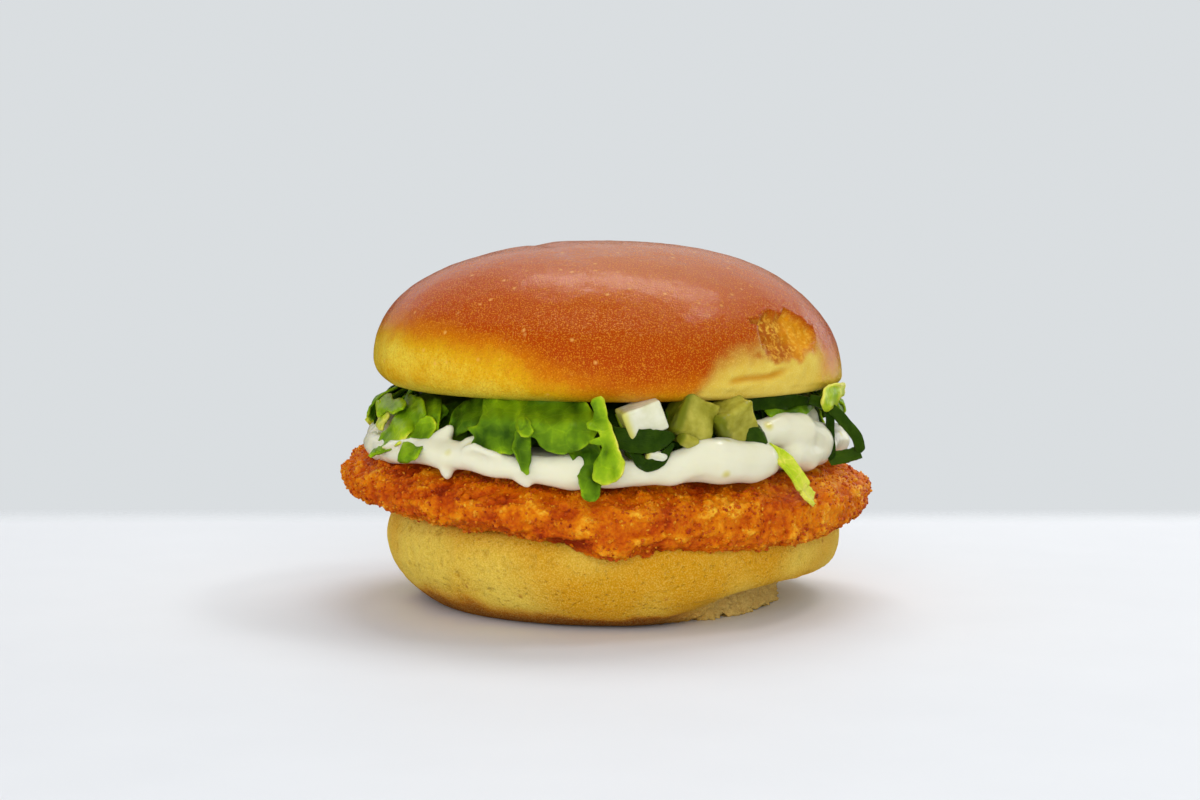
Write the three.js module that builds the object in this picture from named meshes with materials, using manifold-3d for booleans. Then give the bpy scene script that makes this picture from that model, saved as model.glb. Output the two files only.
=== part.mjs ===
// A chicken burger: a brioche bun cut in two, a breaded chicken patty wider than the bun, a layer of
// thick white sauce, and a heap of shredded salad with three larger dice of cucumber and pickle in it.
// Units are millimetres and +Z is up. The origin is on the table under the middle of the bun, and the
// open front, where the salad hangs over the sauce, faces -Y.
import * as THREE from "three";
import { mergeVertices } from "three/addons/utils/BufferGeometryUtils.js";
import Module from "manifold-3d";

const wasm = await Module();
wasm.setup();

// Driving dimensions.
const BUN_WIDTH = 104;
const BUN_DEPTH = 100;
const BURGER_HEIGHT = 79.5;
const PATTY_WIDTH = 116.4;
const PATTY_DEPTH = 109;
const PATTY_THICKNESS = 16;
const PATTY_MIDDLE = 25.6; // height of the patty's middle plane
const PATTY_SLOPE = -0.03; // the patty lies lower on the right
const PATTY_WEDGE = -0.028; // its underside slopes this much more, so it is thicker on the right
const SALAD_TOP = 47.6; // height of the crown's cut face, where the salad ends
const CLEARANCE = 0.3; // gap kept between two pieces that touch

const TURN = Math.PI * 2;
const degrees = (angle) => (angle * Math.PI) / 180;
const blend = (from, to, share) => from + (to - from) * share;
const smooth = (from, to, value) => THREE.MathUtils.smoothstep(value, from, to);
const quarterTurn = (from, to, value) => (degrees(90) * (value - from)) / (to - from);

// A soft bump round the rim: 1 at its centre, fading over its width. All angles are in degrees,
// 0 at +X and 270 at the front.
function rimBump(angle, centre, width) {
  const apart = THREE.MathUtils.euclideanModulo((angle * 360) / TURN - centre + 180, 360) - 180;
  return Math.exp(-((apart / width) ** 2));
}

// A closed body built from rings. Row 0 is the bottom centre and the last row the top centre;
// place(angle, share) gives the point at that turn and that share of the way from bottom to top.
function ringBody(around, rows, place) {
  const points = [place(0, 0)];
  for (let row = 1; row < rows; row++) {
    for (let i = 0; i < around; i++) points.push(place((i / around) * TURN, row / rows));
  }
  points.push(place(0, 1));
  const at = (row, i) => 1 + (row - 1) * around + (i % around);
  const last = points.length - 1;
  const faces = [];
  for (let i = 0; i < around; i++) {
    faces.push(0, at(1, i + 1), at(1, i));
    for (let row = 1; row < rows - 1; row++) {
      faces.push(at(row, i), at(row, i + 1), at(row + 1, i + 1));
      faces.push(at(row, i), at(row + 1, i + 1), at(row + 1, i));
    }
    faces.push(at(rows - 1, i), at(rows - 1, i + 1), last);
  }
  const body = new THREE.BufferGeometry().setFromPoints(points);
  body.setIndex(faces);
  return body;
}

// The same body with its skin moved outwards, used to cut a neighbour back to a clearance.
function grown(body, distance = CLEARANCE) {
  const larger = body.clone();
  larger.computeVertexNormals();
  const position = larger.getAttribute("position");
  const normal = larger.getAttribute("normal");
  const point = new THREE.Vector3();
  const outwards = new THREE.Vector3();
  for (let i = 0; i < position.count; i++) {
    outwards.fromBufferAttribute(normal, i);
    point.fromBufferAttribute(position, i).addScaledVector(outwards, distance);
    position.setXYZ(i, point.x, point.y, point.z);
  }
  return larger;
}

function solidOf(body) {
  const bare = body.clone();
  bare.deleteAttribute("normal");
  bare.deleteAttribute("uv");
  const merged = mergeVertices(bare, 1e-4);
  const vertProperties = merged.getAttribute("position").array;
  return new wasm.Manifold(
    new wasm.Mesh({ numProp: 3, vertProperties, triVerts: new Uint32Array(merged.index.array) }),
  );
}

// The largest single body of a cut solid, as a three.js geometry.
function bodyOf(solid) {
  const whole = solid.decompose().sort((a, b) => b.volume() - a.volume())[0];
  const mesh = whole.getMesh();
  const body = new THREE.BufferGeometry();
  body.setAttribute("position", new THREE.BufferAttribute(mesh.vertProperties, 3));
  body.setIndex(new THREE.BufferAttribute(mesh.triVerts, 1));
  return body;
}

const group = new THREE.Group();

function addPiece(name, body, color, roughness) {
  const mesh = new THREE.Mesh(body, new THREE.MeshStandardMaterial({ color, roughness, metalness: 0 }));
  mesh.name = name;
  group.add(mesh);
}

// Bun crown: a domed, egg-washed top with a rounded lower edge. The rim sits higher and rounder on
// the left, and a patch of crust is torn off low on the front right.
const CROWN_AROUND = 46;
const CROWN_ROWS = 18;
const CROWN_RIM = 52; // mean height of the widest line
const CROWN_RIM_TILT = -2; // the widest line drops towards +X
const CROWN_EDGE = 5.3; // radius of the lower edge
const CROWN_EDGE_CHANGE = -2.7; // it is rounder on the left and sharper on the right
const CROWN_SQUARENESS = 2.2; // 2 is an elliptical dome, more gives fuller shoulders
const CROWN_UNDERSIDE_SHARE = 0.24;
const CROWN_EDGE_SHARE = 0.44;
const TEAR_CENTRE = new THREE.Vector3(41, -30.5, 60.5);
const TEAR_RADIUS = 9;
const TEAR_DEPTH = 2.2;

function crownPoint(angle, share) {
  const right = Math.cos(angle);
  const swell = 1 + 0.008 * Math.sin(3 * angle + 0.6) + 0.006 * Math.sin(5 * angle + 2);
  const rim = Math.hypot((BUN_WIDTH / 2) * right, (BUN_DEPTH / 2) * Math.sin(angle)) * swell;
  const rimHeight = CROWN_RIM + CROWN_RIM_TILT * right;
  const edge = CROWN_EDGE + CROWN_EDGE_CHANGE * right;
  let radius;
  let height;
  if (share < CROWN_UNDERSIDE_SHARE) {
    radius = (rim - edge) * (share / CROWN_UNDERSIDE_SHARE);
    height = SALAD_TOP;
  } else if (share < CROWN_EDGE_SHARE) {
    const turned = quarterTurn(CROWN_UNDERSIDE_SHARE, CROWN_EDGE_SHARE, share);
    radius = rim - edge * (1 - Math.sin(turned));
    height = blend(rimHeight, SALAD_TOP, Math.cos(turned));
  } else {
    const risen = quarterTurn(CROWN_EDGE_SHARE, 1, share);
    radius = rim * Math.max(0, Math.cos(risen)) ** (2 / CROWN_SQUARENESS);
    height = blend(rimHeight, BURGER_HEIGHT, Math.sin(risen) ** (2 / CROWN_SQUARENESS));
  }
  const point = new THREE.Vector3(radius * right, radius * Math.sin(angle), height);
  const torn = TEAR_DEPTH * Math.max(0, 1 - (point.distanceTo(TEAR_CENTRE) / TEAR_RADIUS) ** 2);
  return point.addScaledVector(new THREE.Vector3(right, Math.sin(angle), 0), -torn);
}

const crown = ringBody(CROWN_AROUND, CROWN_ROWS, crownPoint);

// Patty: a flattened, lumpy oval in breadcrumbs, wider than the bun all round. The front sags a
// little, and one thick clump of breading stands out of the front.
const PATTY_AROUND = 54;
const PATTY_ROWS = 14;
const PATTY_SQUARENESS = 2.7; // 2 is an ellipse, more gives a flatter top and a blunter rim
const PATTY_HANG = 3.3; // added to it for the lower edge at the front right, which hangs down
const PATTY_HANG_TURN = 304;
const PATTY_HANG_WIDTH = 32;
const PATTY_SAG = 1.2;
const CLUMP_REACH = 2.4;

function pattyPoint(angle, share) {
  const turned = (share - 0.5) * Math.PI;
  const right = Math.cos(angle);
  const back = Math.sin(angle);
  const broadWaves = 0.012 * Math.sin(3 * angle + 1);
  const lumps = 0.011 * Math.sin(7 * angle) + 0.007 * Math.sin(12 * angle + 2);
  const reach = Math.hypot((PATTY_WIDTH / 2) * right, (PATTY_DEPTH / 2) * back) * (1 + broadWaves + lumps);
  const low = smooth(0.6, -0.6, Math.sin(turned));
  const rim = reach + CLUMP_REACH * low * rimBump(angle, 272, 10);
  const side = Math.sign(Math.sin(turned));
  const hang = side < 0 ? PATTY_HANG * rimBump(angle, PATTY_HANG_TURN, PATTY_HANG_WIDTH) : 0;
  const power = 2 / (PATTY_SQUARENESS + hang);
  const radius = rim * Math.cos(turned) ** power;
  const lift = side * (PATTY_THICKNESS / 2) * Math.abs(Math.sin(turned)) ** power;
  const x = radius * right;
  const y = radius * back;
  const sag = PATTY_SAG * smooth(20, 55, -y) + 0.35 * Math.sin(x / 7) * Math.cos(y / 8);
  const wedge = side < 0 ? PATTY_WEDGE * x * Math.abs(Math.sin(turned)) : 0;
  return new THREE.Vector3(x, y, PATTY_MIDDLE + PATTY_SLOPE * x + wedge + lift - sag);
}

const patty = ringBody(PATTY_AROUND, PATTY_ROWS, pattyPoint);
const pattyCutter = solidOf(grown(patty));

// Bun heel: a shallow bowl of bread on a flat foot, a little off centre to the right. Its front right
// underside is torn: the crust's lower edge is lifted there and the crumb under it stands on the
// table. Its cut face follows the patty that lies on it.
const HEEL_AROUND = 36;
const HEEL_ROWS = 16;
const HEEL_FOOT = 37.5; // radius of the flat foot
const HEEL_RIM = 50.4;
const HEEL_OFF_CENTRE = 1.9;
const HEEL_RIM_HEIGHT = 14.5;
const HEEL_TOP = 20.4;
const HEEL_FOOT_SHARE = 0.15;
const HEEL_RIM_SHARE = 0.66;
const HEEL_TOP_SHARE = 0.8;
const HEEL_LIFT = 7.8; // height of the lifted lower edge
const HEEL_LIFT_TURN = 345;
const HEEL_LIFT_WIDTH = 46;
const HEEL_LIP = 3.5; // the lifted edge stands this far inside the rim
const HEEL_WALL_SHARE = 0.3; // the crumb's wall takes this share of the side, and the gap over it the next
const HEEL_LIP_SHARE = 0.6;

// The side of the heel as radius and height, from its foot to its rim.
function heelSide(rim, share) {
  const turned = quarterTurn(0, 1, share);
  const height = HEEL_RIM_HEIGHT * (1 - Math.cos(turned));
  return new THREE.Vector2(blend(HEEL_FOOT, rim, Math.sin(turned)), height);
}

// The same side where it is torn: the crumb's wall, the underside of the lifted crust, and its lip.
function heelTornSide(rim, share) {
  const inner = HEEL_FOOT + 1;
  const edge = rim - HEEL_LIP;
  if (share < HEEL_WALL_SHARE) return new THREE.Vector2(inner, HEEL_LIFT * (share / HEEL_WALL_SHARE));
  if (share < HEEL_LIP_SHARE) {
    const along = (share - HEEL_WALL_SHARE) / (HEEL_LIP_SHARE - HEEL_WALL_SHARE);
    return new THREE.Vector2(blend(inner, edge, along), HEEL_LIFT);
  }
  const turned = quarterTurn(HEEL_LIP_SHARE, 1, share);
  return new THREE.Vector2(
    blend(edge, rim, Math.sin(turned)),
    blend(HEEL_RIM_HEIGHT, HEEL_LIFT, Math.cos(turned)),
  );
}

function heelPoint(angle, share) {
  const lifted = smooth(0.1, 0.75, rimBump(angle, HEEL_LIFT_TURN, HEEL_LIFT_WIDTH));
  const swell = 1 + 0.01 * Math.sin(3 * angle) + 0.006 * Math.sin(4 * angle + 1);
  const rim = (HEEL_RIM + HEEL_OFF_CENTRE * Math.cos(angle)) * swell;
  let radius;
  let height;
  if (share < HEEL_FOOT_SHARE) {
    radius = HEEL_FOOT * (share / HEEL_FOOT_SHARE);
    height = 0;
  } else if (share < HEEL_RIM_SHARE) {
    const along = (share - HEEL_FOOT_SHARE) / (HEEL_RIM_SHARE - HEEL_FOOT_SHARE);
    const side = heelSide(rim, along).lerp(heelTornSide(rim, along), lifted);
    radius = side.x;
    height = side.y;
  } else if (share < HEEL_TOP_SHARE) {
    const turned = quarterTurn(HEEL_RIM_SHARE, HEEL_TOP_SHARE, share);
    radius = rim - 3 * (1 - Math.cos(turned));
    height = blend(HEEL_RIM_HEIGHT, HEEL_TOP, Math.sin(turned));
  } else {
    radius = (rim - 3) * (1 - (share - HEEL_TOP_SHARE) / (1 - HEEL_TOP_SHARE));
    height = HEEL_TOP;
  }
  return new THREE.Vector3(radius * Math.cos(angle), radius * Math.sin(angle), height);
}

const heel = solidOf(ringBody(HEEL_AROUND, HEEL_ROWS, heelPoint)).subtract(pattyCutter);

// Sauce: a spooned layer that covers the patty and swells into rounded lobes round the rim.
// Each lobe has the turn it lies at, its half width in degrees, how far it reaches out and how far
// it rises above the layer.
const SAUCE_AROUND = 48;
const SAUCE_ROWS = 11;
const SAUCE_REACH = 48;
const SAUCE_MIDDLE = 33.6;
const SAUCE_HALF = 4;
const SAUCE_BLUNTNESS = 0.55; // 1 gives an elliptical edge, less gives a blunter one
const SAUCE_LOBES = [
  { turn: 22, width: 12, out: 3, up: 1 },
  { turn: 75, width: 16, out: 3.5, up: 1.5 },
  { turn: 128, width: 14, out: 3, up: 1 },
  { turn: 186, width: 11, out: 6, up: 0.5 },
  { turn: 226, width: 14, out: 5, up: 2.5 },
  { turn: 258, width: 12, out: 3.5, up: 1 },
  { turn: 298, width: 13, out: 5, up: 3 },
  { turn: 318, width: 9, out: 4.5, up: 8 },
];

function saucePoint(angle, share) {
  const turned = (share - 0.5) * Math.PI;
  let rim = SAUCE_REACH;
  let rise = 0;
  for (const lobe of SAUCE_LOBES) {
    rim += lobe.out * rimBump(angle, lobe.turn, lobe.width);
    rise += lobe.up * rimBump(angle, lobe.turn, lobe.width);
  }
  const radius = rim * Math.cos(turned) ** SAUCE_BLUNTNESS;
  const top = SAUCE_HALF + rise * smooth(0.45, 0.8, radius / rim);
  const half = turned > 0 ? top : SAUCE_HALF;
  const x = radius * Math.cos(angle);
  const lift = Math.sign(turned) * half * Math.abs(Math.sin(turned)) ** SAUCE_BLUNTNESS;
  return new THREE.Vector3(x, radius * Math.sin(angle), SAUCE_MIDDLE + PATTY_SLOPE * x + lift);
}

const spooned = ringBody(SAUCE_AROUND, SAUCE_ROWS, saucePoint);
const sauce = solidOf(spooned).subtract(pattyCutter);
const sauceCutter = solidOf(grown(spooned));

// Dice: one crisp cube of cucumber and two of pickle, wedged under the crown at the front. Each has
// its sides, its centre and its tilt about X, Y and Z in radians.
const DICE = [
  { name: "cucumber_dice", size: [9.4, 7, 7], at: [7, -46, 44.4], tilt: [0.15, -0.34, 0.25] },
  { name: "pickle_dice_left", size: [8.4, 8, 7], at: [17, -42, 42.8], tilt: [-0.2, 0.3, 0.35] },
  { name: "pickle_dice_right", size: [7, 7, 7], at: [25.4, -38.4, 43.2], tilt: [0.2, -0.25, 0.6] },
];

const CUCUMBER_COLOR = 0xdadab7;
const PICKLE_COLOR = 0x867f24;

function dieBody({ size, at, tilt }, extra = 0) {
  const body = new THREE.BoxGeometry(...size.map((side) => side + 2 * extra));
  body.rotateX(tilt[0]).rotateY(tilt[1]).rotateZ(tilt[2]);
  return body.translate(...at);
}

// Salad: a springy heap between the sauce and the crown with a ruffled outline, and tips of leaf
// that fold out of it and hang down over the sauce.
const SALAD_AROUND = 50;
const SALAD_ROWS = 8;
const SALAD_REACH = 48.2;
const SALAD_MIDDLE = 41.5;
const SALAD_HALF = 7.5;
const LEAF_TIPS = [
  { turn: 187, reach: 48, height: 42, wide: 7, tall: 8 },
  { turn: 211, reach: 48, height: 41.5, wide: 8, tall: 8.5 },
  { turn: 240, reach: 48.6, height: 41, wide: 9, tall: 8.5 },
  { turn: 265, reach: 49.2, height: 39.8, wide: 9.5, tall: 11 },
  { turn: 340, reach: 50, height: 40.5, wide: 6, tall: 9.5 },
  { turn: 12, reach: 48.5, height: 41.5, wide: 8, tall: 8 },
  { turn: 40, reach: 48, height: 41, wide: 9, tall: 8.5 },
  { turn: 70, reach: 48, height: 40.5, wide: 9, tall: 9.5 },
  { turn: 101, reach: 48, height: 41.5, wide: 8, tall: 8 },
  { turn: 128, reach: 48, height: 41, wide: 9, tall: 9 },
  { turn: 157, reach: 48, height: 41, wide: 8, tall: 8.5 },
];
const LEAF_THICKNESS = 2.6;
const LEAF_LEAN = 12; // the tips swing outwards from the heap
const LEAF_POINTS = 13;

function saladPoint(angle, share) {
  const turned = (share - 0.5) * Math.PI;
  const level = Math.sin(turned);
  const ruffle = 1.5 * Math.sin(9 * angle + 3 * level) + 1.1 * Math.sin(16 * angle - 2 * level + 1);
  const radius = (SALAD_REACH + ruffle) * Math.cos(turned) ** 0.45;
  const lift = SALAD_HALF * Math.sign(level) * Math.abs(level) ** 0.8;
  return new THREE.Vector3(radius * Math.cos(angle), radius * Math.sin(angle), SALAD_MIDDLE + lift);
}

// A leaf tip: a ruffled outline, wide above and pointed below, stood on its point at the rim.
function leafTipBody({ turn, reach, height, wide, tall }) {
  const outline = [];
  for (let i = 0; i < LEAF_POINTS; i++) {
    const a = (i / LEAF_POINTS) * TURN;
    const taper = 0.68 + 0.32 * Math.cos(a);
    const ruffle = 1 + 0.14 * Math.sin(5 * a + turn);
    outline.push(new THREE.Vector2(wide * Math.sin(a) * taper * ruffle, tall * Math.cos(a)));
  }
  const slab = { depth: LEAF_THICKNESS, bevelEnabled: false };
  const body = new THREE.ExtrudeGeometry(new THREE.Shape(outline), slab);
  body.translate(0, 0, -LEAF_THICKNESS / 2).rotateX(degrees(90 - LEAF_LEAN)).rotateZ(degrees(turn + 90));
  return body.translate(reach * Math.cos(degrees(turn)), reach * Math.sin(degrees(turn)), height);
}

const crownCutter = solidOf(grown(crown));
let salad = solidOf(ringBody(SALAD_AROUND, SALAD_ROWS, saladPoint));
for (const tip of LEAF_TIPS) salad = salad.add(solidOf(leafTipBody(tip)));
for (const cutter of [crownCutter, sauceCutter, pattyCutter]) salad = salad.subtract(cutter);
for (const die of DICE) salad = salad.subtract(solidOf(dieBody(die, CLEARANCE)));

addPiece("bun_heel", bodyOf(heel), 0xc9a03a, 0.75);
addPiece("patty", patty, 0xc86414, 0.7);
addPiece("sauce", bodyOf(sauce), 0xe4e0c4, 0.3);
addPiece("salad", bodyOf(salad), 0x5c8a0c, 0.5);
const dieCutters = [crownCutter, sauceCutter];
for (const die of DICE) {
  let cut = solidOf(dieBody(die));
  for (const cutter of dieCutters) cut = cut.subtract(cutter);
  addPiece(die.name, bodyOf(cut), die.name.startsWith("cucumber") ? CUCUMBER_COLOR : PICKLE_COLOR, 0.35);
  dieCutters.push(solidOf(dieBody(die, CLEARANCE)));
}
addPiece("bun_crown", crown, 0xb4541a, 0.35);

export default group;
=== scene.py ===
# A chicken burger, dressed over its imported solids: a glazed brioche bun, a breaded chicken patty, thick
# white sauce, a heap of shredded salad and three larger dice. Lengths are metres and turns are degrees,
# 0 at +X and 270 at the open front, which faces -Y.
import math

import bmesh
import bpy
import numpy as np
from mathutils import Matrix, Vector, geometry, noise


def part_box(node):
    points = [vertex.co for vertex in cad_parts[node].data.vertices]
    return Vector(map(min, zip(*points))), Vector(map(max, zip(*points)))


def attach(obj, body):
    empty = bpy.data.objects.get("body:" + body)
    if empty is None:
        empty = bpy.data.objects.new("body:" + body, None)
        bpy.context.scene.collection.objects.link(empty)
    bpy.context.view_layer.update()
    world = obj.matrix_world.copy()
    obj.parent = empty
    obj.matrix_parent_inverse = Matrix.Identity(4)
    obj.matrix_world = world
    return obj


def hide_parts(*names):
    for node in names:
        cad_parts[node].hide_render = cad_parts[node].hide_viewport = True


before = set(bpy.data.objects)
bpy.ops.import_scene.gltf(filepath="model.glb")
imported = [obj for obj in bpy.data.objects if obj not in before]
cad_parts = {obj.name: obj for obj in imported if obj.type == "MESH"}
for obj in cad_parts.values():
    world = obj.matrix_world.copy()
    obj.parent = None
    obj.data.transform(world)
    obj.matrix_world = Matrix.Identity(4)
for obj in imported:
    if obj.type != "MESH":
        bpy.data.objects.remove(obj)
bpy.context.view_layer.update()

MM = 0.001

# ------------------------------------------------------------------------------------------------
# The table: a pale board that ends a hand's width behind the burger, before a plain grey wall.
# Soft boxes overhead and behind give the glaze and the rims a sheen, and large screens fill the
# shadows from the front and the left.
TABLE_BACK = 127 * MM
TABLE_FADE = 16 * MM
TABLE_SPAN = 3.0
WALL_GREY = (0.70, 0.73, 0.75, 1)
CAMERA_LEFT = 1.1 * MM
CAMERA_AWAY = 535 * MM
CAMERA_HEIGHT = 93 * MM
CAMERA_LENS = 72.2
CAMERA_DIP = 5.24
LIT_POINT = Vector((0, 0, 0.04))
# Each light has a place and a size in metres, a power in watts, and whether glossy faces mirror it.
LIGHTS = (
    ("overhead", (0.09, 0.34, 0.72), (0.58, 0.22), 2.7, True),
    ("side_strip", (0.42, 0.05, 0.75), (0.22, 0.1), 1.0, True),
    ("back_panel", (0.0, 0.80, 0.42), (1.4, 0.5), 1.6, True),
    ("right_panel", (0.62, 0.62, 0.16), (0.5, 0.36), 0.8, True),
    ("front_fill", (0.05, -0.95, 0.36), (1.0, 0.7), 5.4, False),
    ("left_fill", (-0.75, -0.30, 0.16), (0.6, 0.3), 1.3, False),
)


def add_node(tree, kind, inputs=None, **settings):
    """Adds a node. Each input is a value, or the output socket of another node to link from."""
    made = tree.nodes.new(kind)
    for key, value in settings.items():
        setattr(made, key, value)
    for key, value in (inputs or {}).items():
        if isinstance(value, bpy.types.NodeSocket):
            tree.links.new(value, made.inputs[key])
        else:
            made.inputs[key].default_value = value
    return made


def new_material(name, **sockets):
    """A material with a Principled shader, whose sockets are set by name. Gives it and the shader."""
    made = bpy.data.materials.new(name)
    made.use_nodes = True
    shader = made.node_tree.nodes["Principled BSDF"]
    for socket, value in sockets.items():
        shader.inputs[socket.replace("_", " ")].default_value = value
    return made, shader


def object_place(tree):
    return add_node(tree, "ShaderNodeTexCoord").outputs["Object"]


def mix(tree, factor, a, b, blend="MIX"):
    """A colour between a and b, each a socket or a colour."""
    made = tree.nodes.new("ShaderNodeMix")
    made.data_type = "RGBA"
    made.blend_type = blend
    for socket, value in (("Factor", factor), ("A", a), ("B", b)):
        target = next(s for s in made.inputs if s.name == socket and (s.type == "RGBA" or socket == "Factor"))
        if isinstance(value, bpy.types.NodeSocket):
            tree.links.new(value, target)
        elif socket == "Factor":
            target.default_value = value
        else:
            target.default_value = (*value, 1)
    return next(s for s in made.outputs if s.type == "RGBA")


table_mesh = bpy.data.meshes.new("table")
table_edge = TABLE_BACK + TABLE_FADE
corners = [(x, y, 0) for y in (-TABLE_SPAN, table_edge) for x in (-TABLE_SPAN, TABLE_SPAN)]
table_mesh.from_pydata(corners, [], [(0, 1, 3, 2)])
table = bpy.data.objects.new("table", table_mesh)
bpy.context.scene.collection.objects.link(table)
table_finish, table_shader = new_material("table_board", Roughness=0.6)
tree = table_finish.node_tree
mottle = add_node(tree, "ShaderNodeTexNoise", {"Vector": object_place(tree), "Scale": 40, "Detail": 4})
board = mix(tree, mottle.outputs["Fac"], (0.75, 0.765, 0.785), (0.785, 0.80, 0.82))
tree.links.new(board, table_shader.inputs["Base Color"])
back = add_node(tree, "ShaderNodeSeparateXYZ", {0: object_place(tree)}).outputs["Y"]
fade = {"Value": back, "From Min": table_edge, "From Max": TABLE_BACK - TABLE_FADE}
faded = add_node(tree, "ShaderNodeMapRange", fade, interpolation_type="SMOOTHSTEP")
tree.links.new(faded.outputs[0], table_shader.inputs["Alpha"])
table_mesh.materials.append(table_finish)
table.visible_glossy = False

camera = bpy.data.objects.new("camera", bpy.data.cameras.new("camera"))
camera.data.lens = CAMERA_LENS
camera.data.clip_start = 10 * MM
camera.location = (-CAMERA_LEFT, -CAMERA_AWAY, CAMERA_HEIGHT)
camera.rotation_euler = (math.radians(90 - CAMERA_DIP), 0, 0)
bpy.context.scene.collection.objects.link(camera)
bpy.context.scene.camera = camera
bpy.context.scene.view_settings.view_transform = "Standard"

world = bpy.data.worlds.new("studio")
world.use_nodes = True
bpy.context.scene.world = world
tree = world.node_tree
around_light = tree.nodes["Background"]
around_light.inputs["Color"].default_value = (0.93, 0.96, 1.0, 1)
around_light.inputs["Strength"].default_value = 0.5
wall = add_node(tree, "ShaderNodeBackground", {"Color": WALL_GREY, "Strength": 1.0})
seen = add_node(tree, "ShaderNodeLightPath").outputs["Is Camera Ray"]
either = add_node(tree, "ShaderNodeMixShader", {0: seen, 1: around_light.outputs[0], 2: wall.outputs[0]})
tree.links.new(either.outputs[0], tree.nodes["World Output"].inputs["Surface"])
world.cycles_visibility.glossy = False

for name, place, size, power, mirrored in LIGHTS:
    light = bpy.data.lights.new(name, "AREA")
    light.shape = "RECTANGLE"
    light.size, light.size_y = size
    light.energy = power
    holder = bpy.data.objects.new(name, light)
    holder.location = place
    holder.rotation_euler = (LIT_POINT - Vector(place)).to_track_quat("-Z", "Y").to_euler()
    holder.visible_glossy = mirrored
    bpy.context.scene.collection.objects.link(holder)


# ------------------------------------------------------------------------------------------------
# Bun heel: the shallow lower half of a brioche bun, pale where it baked against its neighbours and
# brown round the foot, where the dark band is also painted contact shadow on the table. Its front
# right underside is torn and lifted off the table.
HEEL_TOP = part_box("bun_heel")[1].z
HEEL_FOOT = 37.5 * MM
HEEL_RIM = 50.4 * MM
HEEL_OFF_CENTRE = 1.9 * MM
HEEL_RIM_HEIGHT = 14.5 * MM
HEEL_LIFT = 7.8 * MM
HEEL_LIFT_TURN = 345
HEEL_LIFT_WIDTH = 46
HEEL_LIP = 3.5 * MM
HEEL_SHOULDER = 3 * MM
# shares of the way from the middle of the foot to the middle of the cut face
FOOT_SHARE = 0.12
SIDE_SHARE = 0.68
SHOULDER_SHARE = 0.82
TUCK = 0.8 * MM
PATTY_WIDTH = 116.4 * MM
PATTY_DEPTH = 109 * MM
PATTY_THICK = 16 * MM
PATTY_MIDDLE = 25.6 * MM
PATTY_SLOPE = -0.03
PATTY_WEDGE = -0.028
PATTY_SQUARENESS = 2.7
PATTY_HANG = 3.3
PATTY_HANG_TURN = 304
PATTY_HANG_WIDTH = 32
PATTY_SAG = 1.2 * MM


def smooth(low, high, value):
    share = np.clip((value - low) / (high - low), 0, 1)
    return share * share * (3 - 2 * share)


def rim_bump(angle, centre, width):
    """1 at a turn round the rim, fading away over the width. The angle is in radians."""
    apart = (np.degrees(angle) - centre + 180) % 360 - 180
    return np.exp(-((apart / width) ** 2))


def new_piece(name, points, faces):
    mesh = bpy.data.meshes.new(name)
    mesh.from_pydata(points, [], faces)
    mesh.shade_smooth()
    piece = bpy.data.objects.new(name, mesh)
    bpy.context.scene.collection.objects.link(piece)
    return piece


def ring_piece(name, around, rows, place):
    """A closed body of rings, from the middle of its underside to the middle of its top. place takes
    arrays of turns in radians and of shares of the way, and gives x, y and z."""
    angles = np.tile(np.arange(around) / around * math.tau, rows - 1)
    shares = np.repeat(np.arange(1, rows) / rows, around)
    rings = np.stack(place(angles, shares), axis=1)
    ends = np.stack(place(np.zeros(2), np.array([0.0, 1.0])), axis=1)
    last = len(rings) + 1
    faces = []
    for i in range(around):
        after = (i + 1) % around
        faces.append((0, 1 + after, 1 + i))
        for row in range(rows - 2):
            low, high = 1 + row * around, 1 + (row + 1) * around
            faces.append((low + i, low + after, high + after, high + i))
        faces.append((last - around + i, last - around + after, last))
    return new_piece(name, np.vstack([ends[:1], rings, ends[1:]]).tolist(), faces)


def places_of(piece):
    flat = np.empty(len(piece.data.vertices) * 3)
    piece.data.vertices.foreach_get("co", flat)
    return flat.reshape(-1, 3)


def put(piece, points):
    piece.data.vertices.foreach_set("co", points.ravel())
    piece.data.update()


def push(piece, amount):
    """Moves each vertex of a piece along its own normal."""
    normals = np.empty(len(piece.data.vertices) * 3)
    piece.data.vertex_normals.foreach_get("vector", normals)
    put(piece, places_of(piece) + normals.reshape(-1, 3) * np.asarray(amount)[:, None])


def bumps(points, size, seed=0):
    """Smooth noise at each point, from about -1 to 1, with features of one size."""
    shift = Vector((seed * 7.31, seed * 3.17, seed * 5.73))
    return np.array([noise.noise(Vector(point) / size + shift) for point in points])


def paint(piece, name, values):
    """Keeps one number for each vertex, which the piece's material reads by name."""
    layer = piece.data.attributes.new(name, "FLOAT", "POINT")
    layer.data.foreach_set("value", np.asarray(values, np.float32))


def lower_squareness(angle):
    """The patty's lower edge is blunter at the front right, where it hangs down."""
    return PATTY_SQUARENESS + PATTY_HANG * rim_bump(angle, PATTY_HANG_TURN, PATTY_HANG_WIDTH)


def patty_top_and_foot(x, y):
    """Heights of the patty's upper and lower faces above a point of the table."""
    turned = np.arctan2(y, x)
    share = np.hypot(x, y) / np.hypot(PATTY_WIDTH / 2 * np.cos(turned), PATTY_DEPTH / 2 * np.sin(turned))
    middle = PATTY_MIDDLE + PATTY_SLOPE * x - PATTY_SAG * smooth(20 * MM, 55 * MM, -y)
    upper, lower = PATTY_SQUARENESS, lower_squareness(turned)
    above = PATTY_THICK / 2 * np.maximum(0, 1 - share**upper) ** (1 / upper)
    below = PATTY_THICK / 2 * np.maximum(0, 1 - share**lower) ** (1 / lower)
    return middle + above, middle - below + PATTY_WEDGE * x


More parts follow.
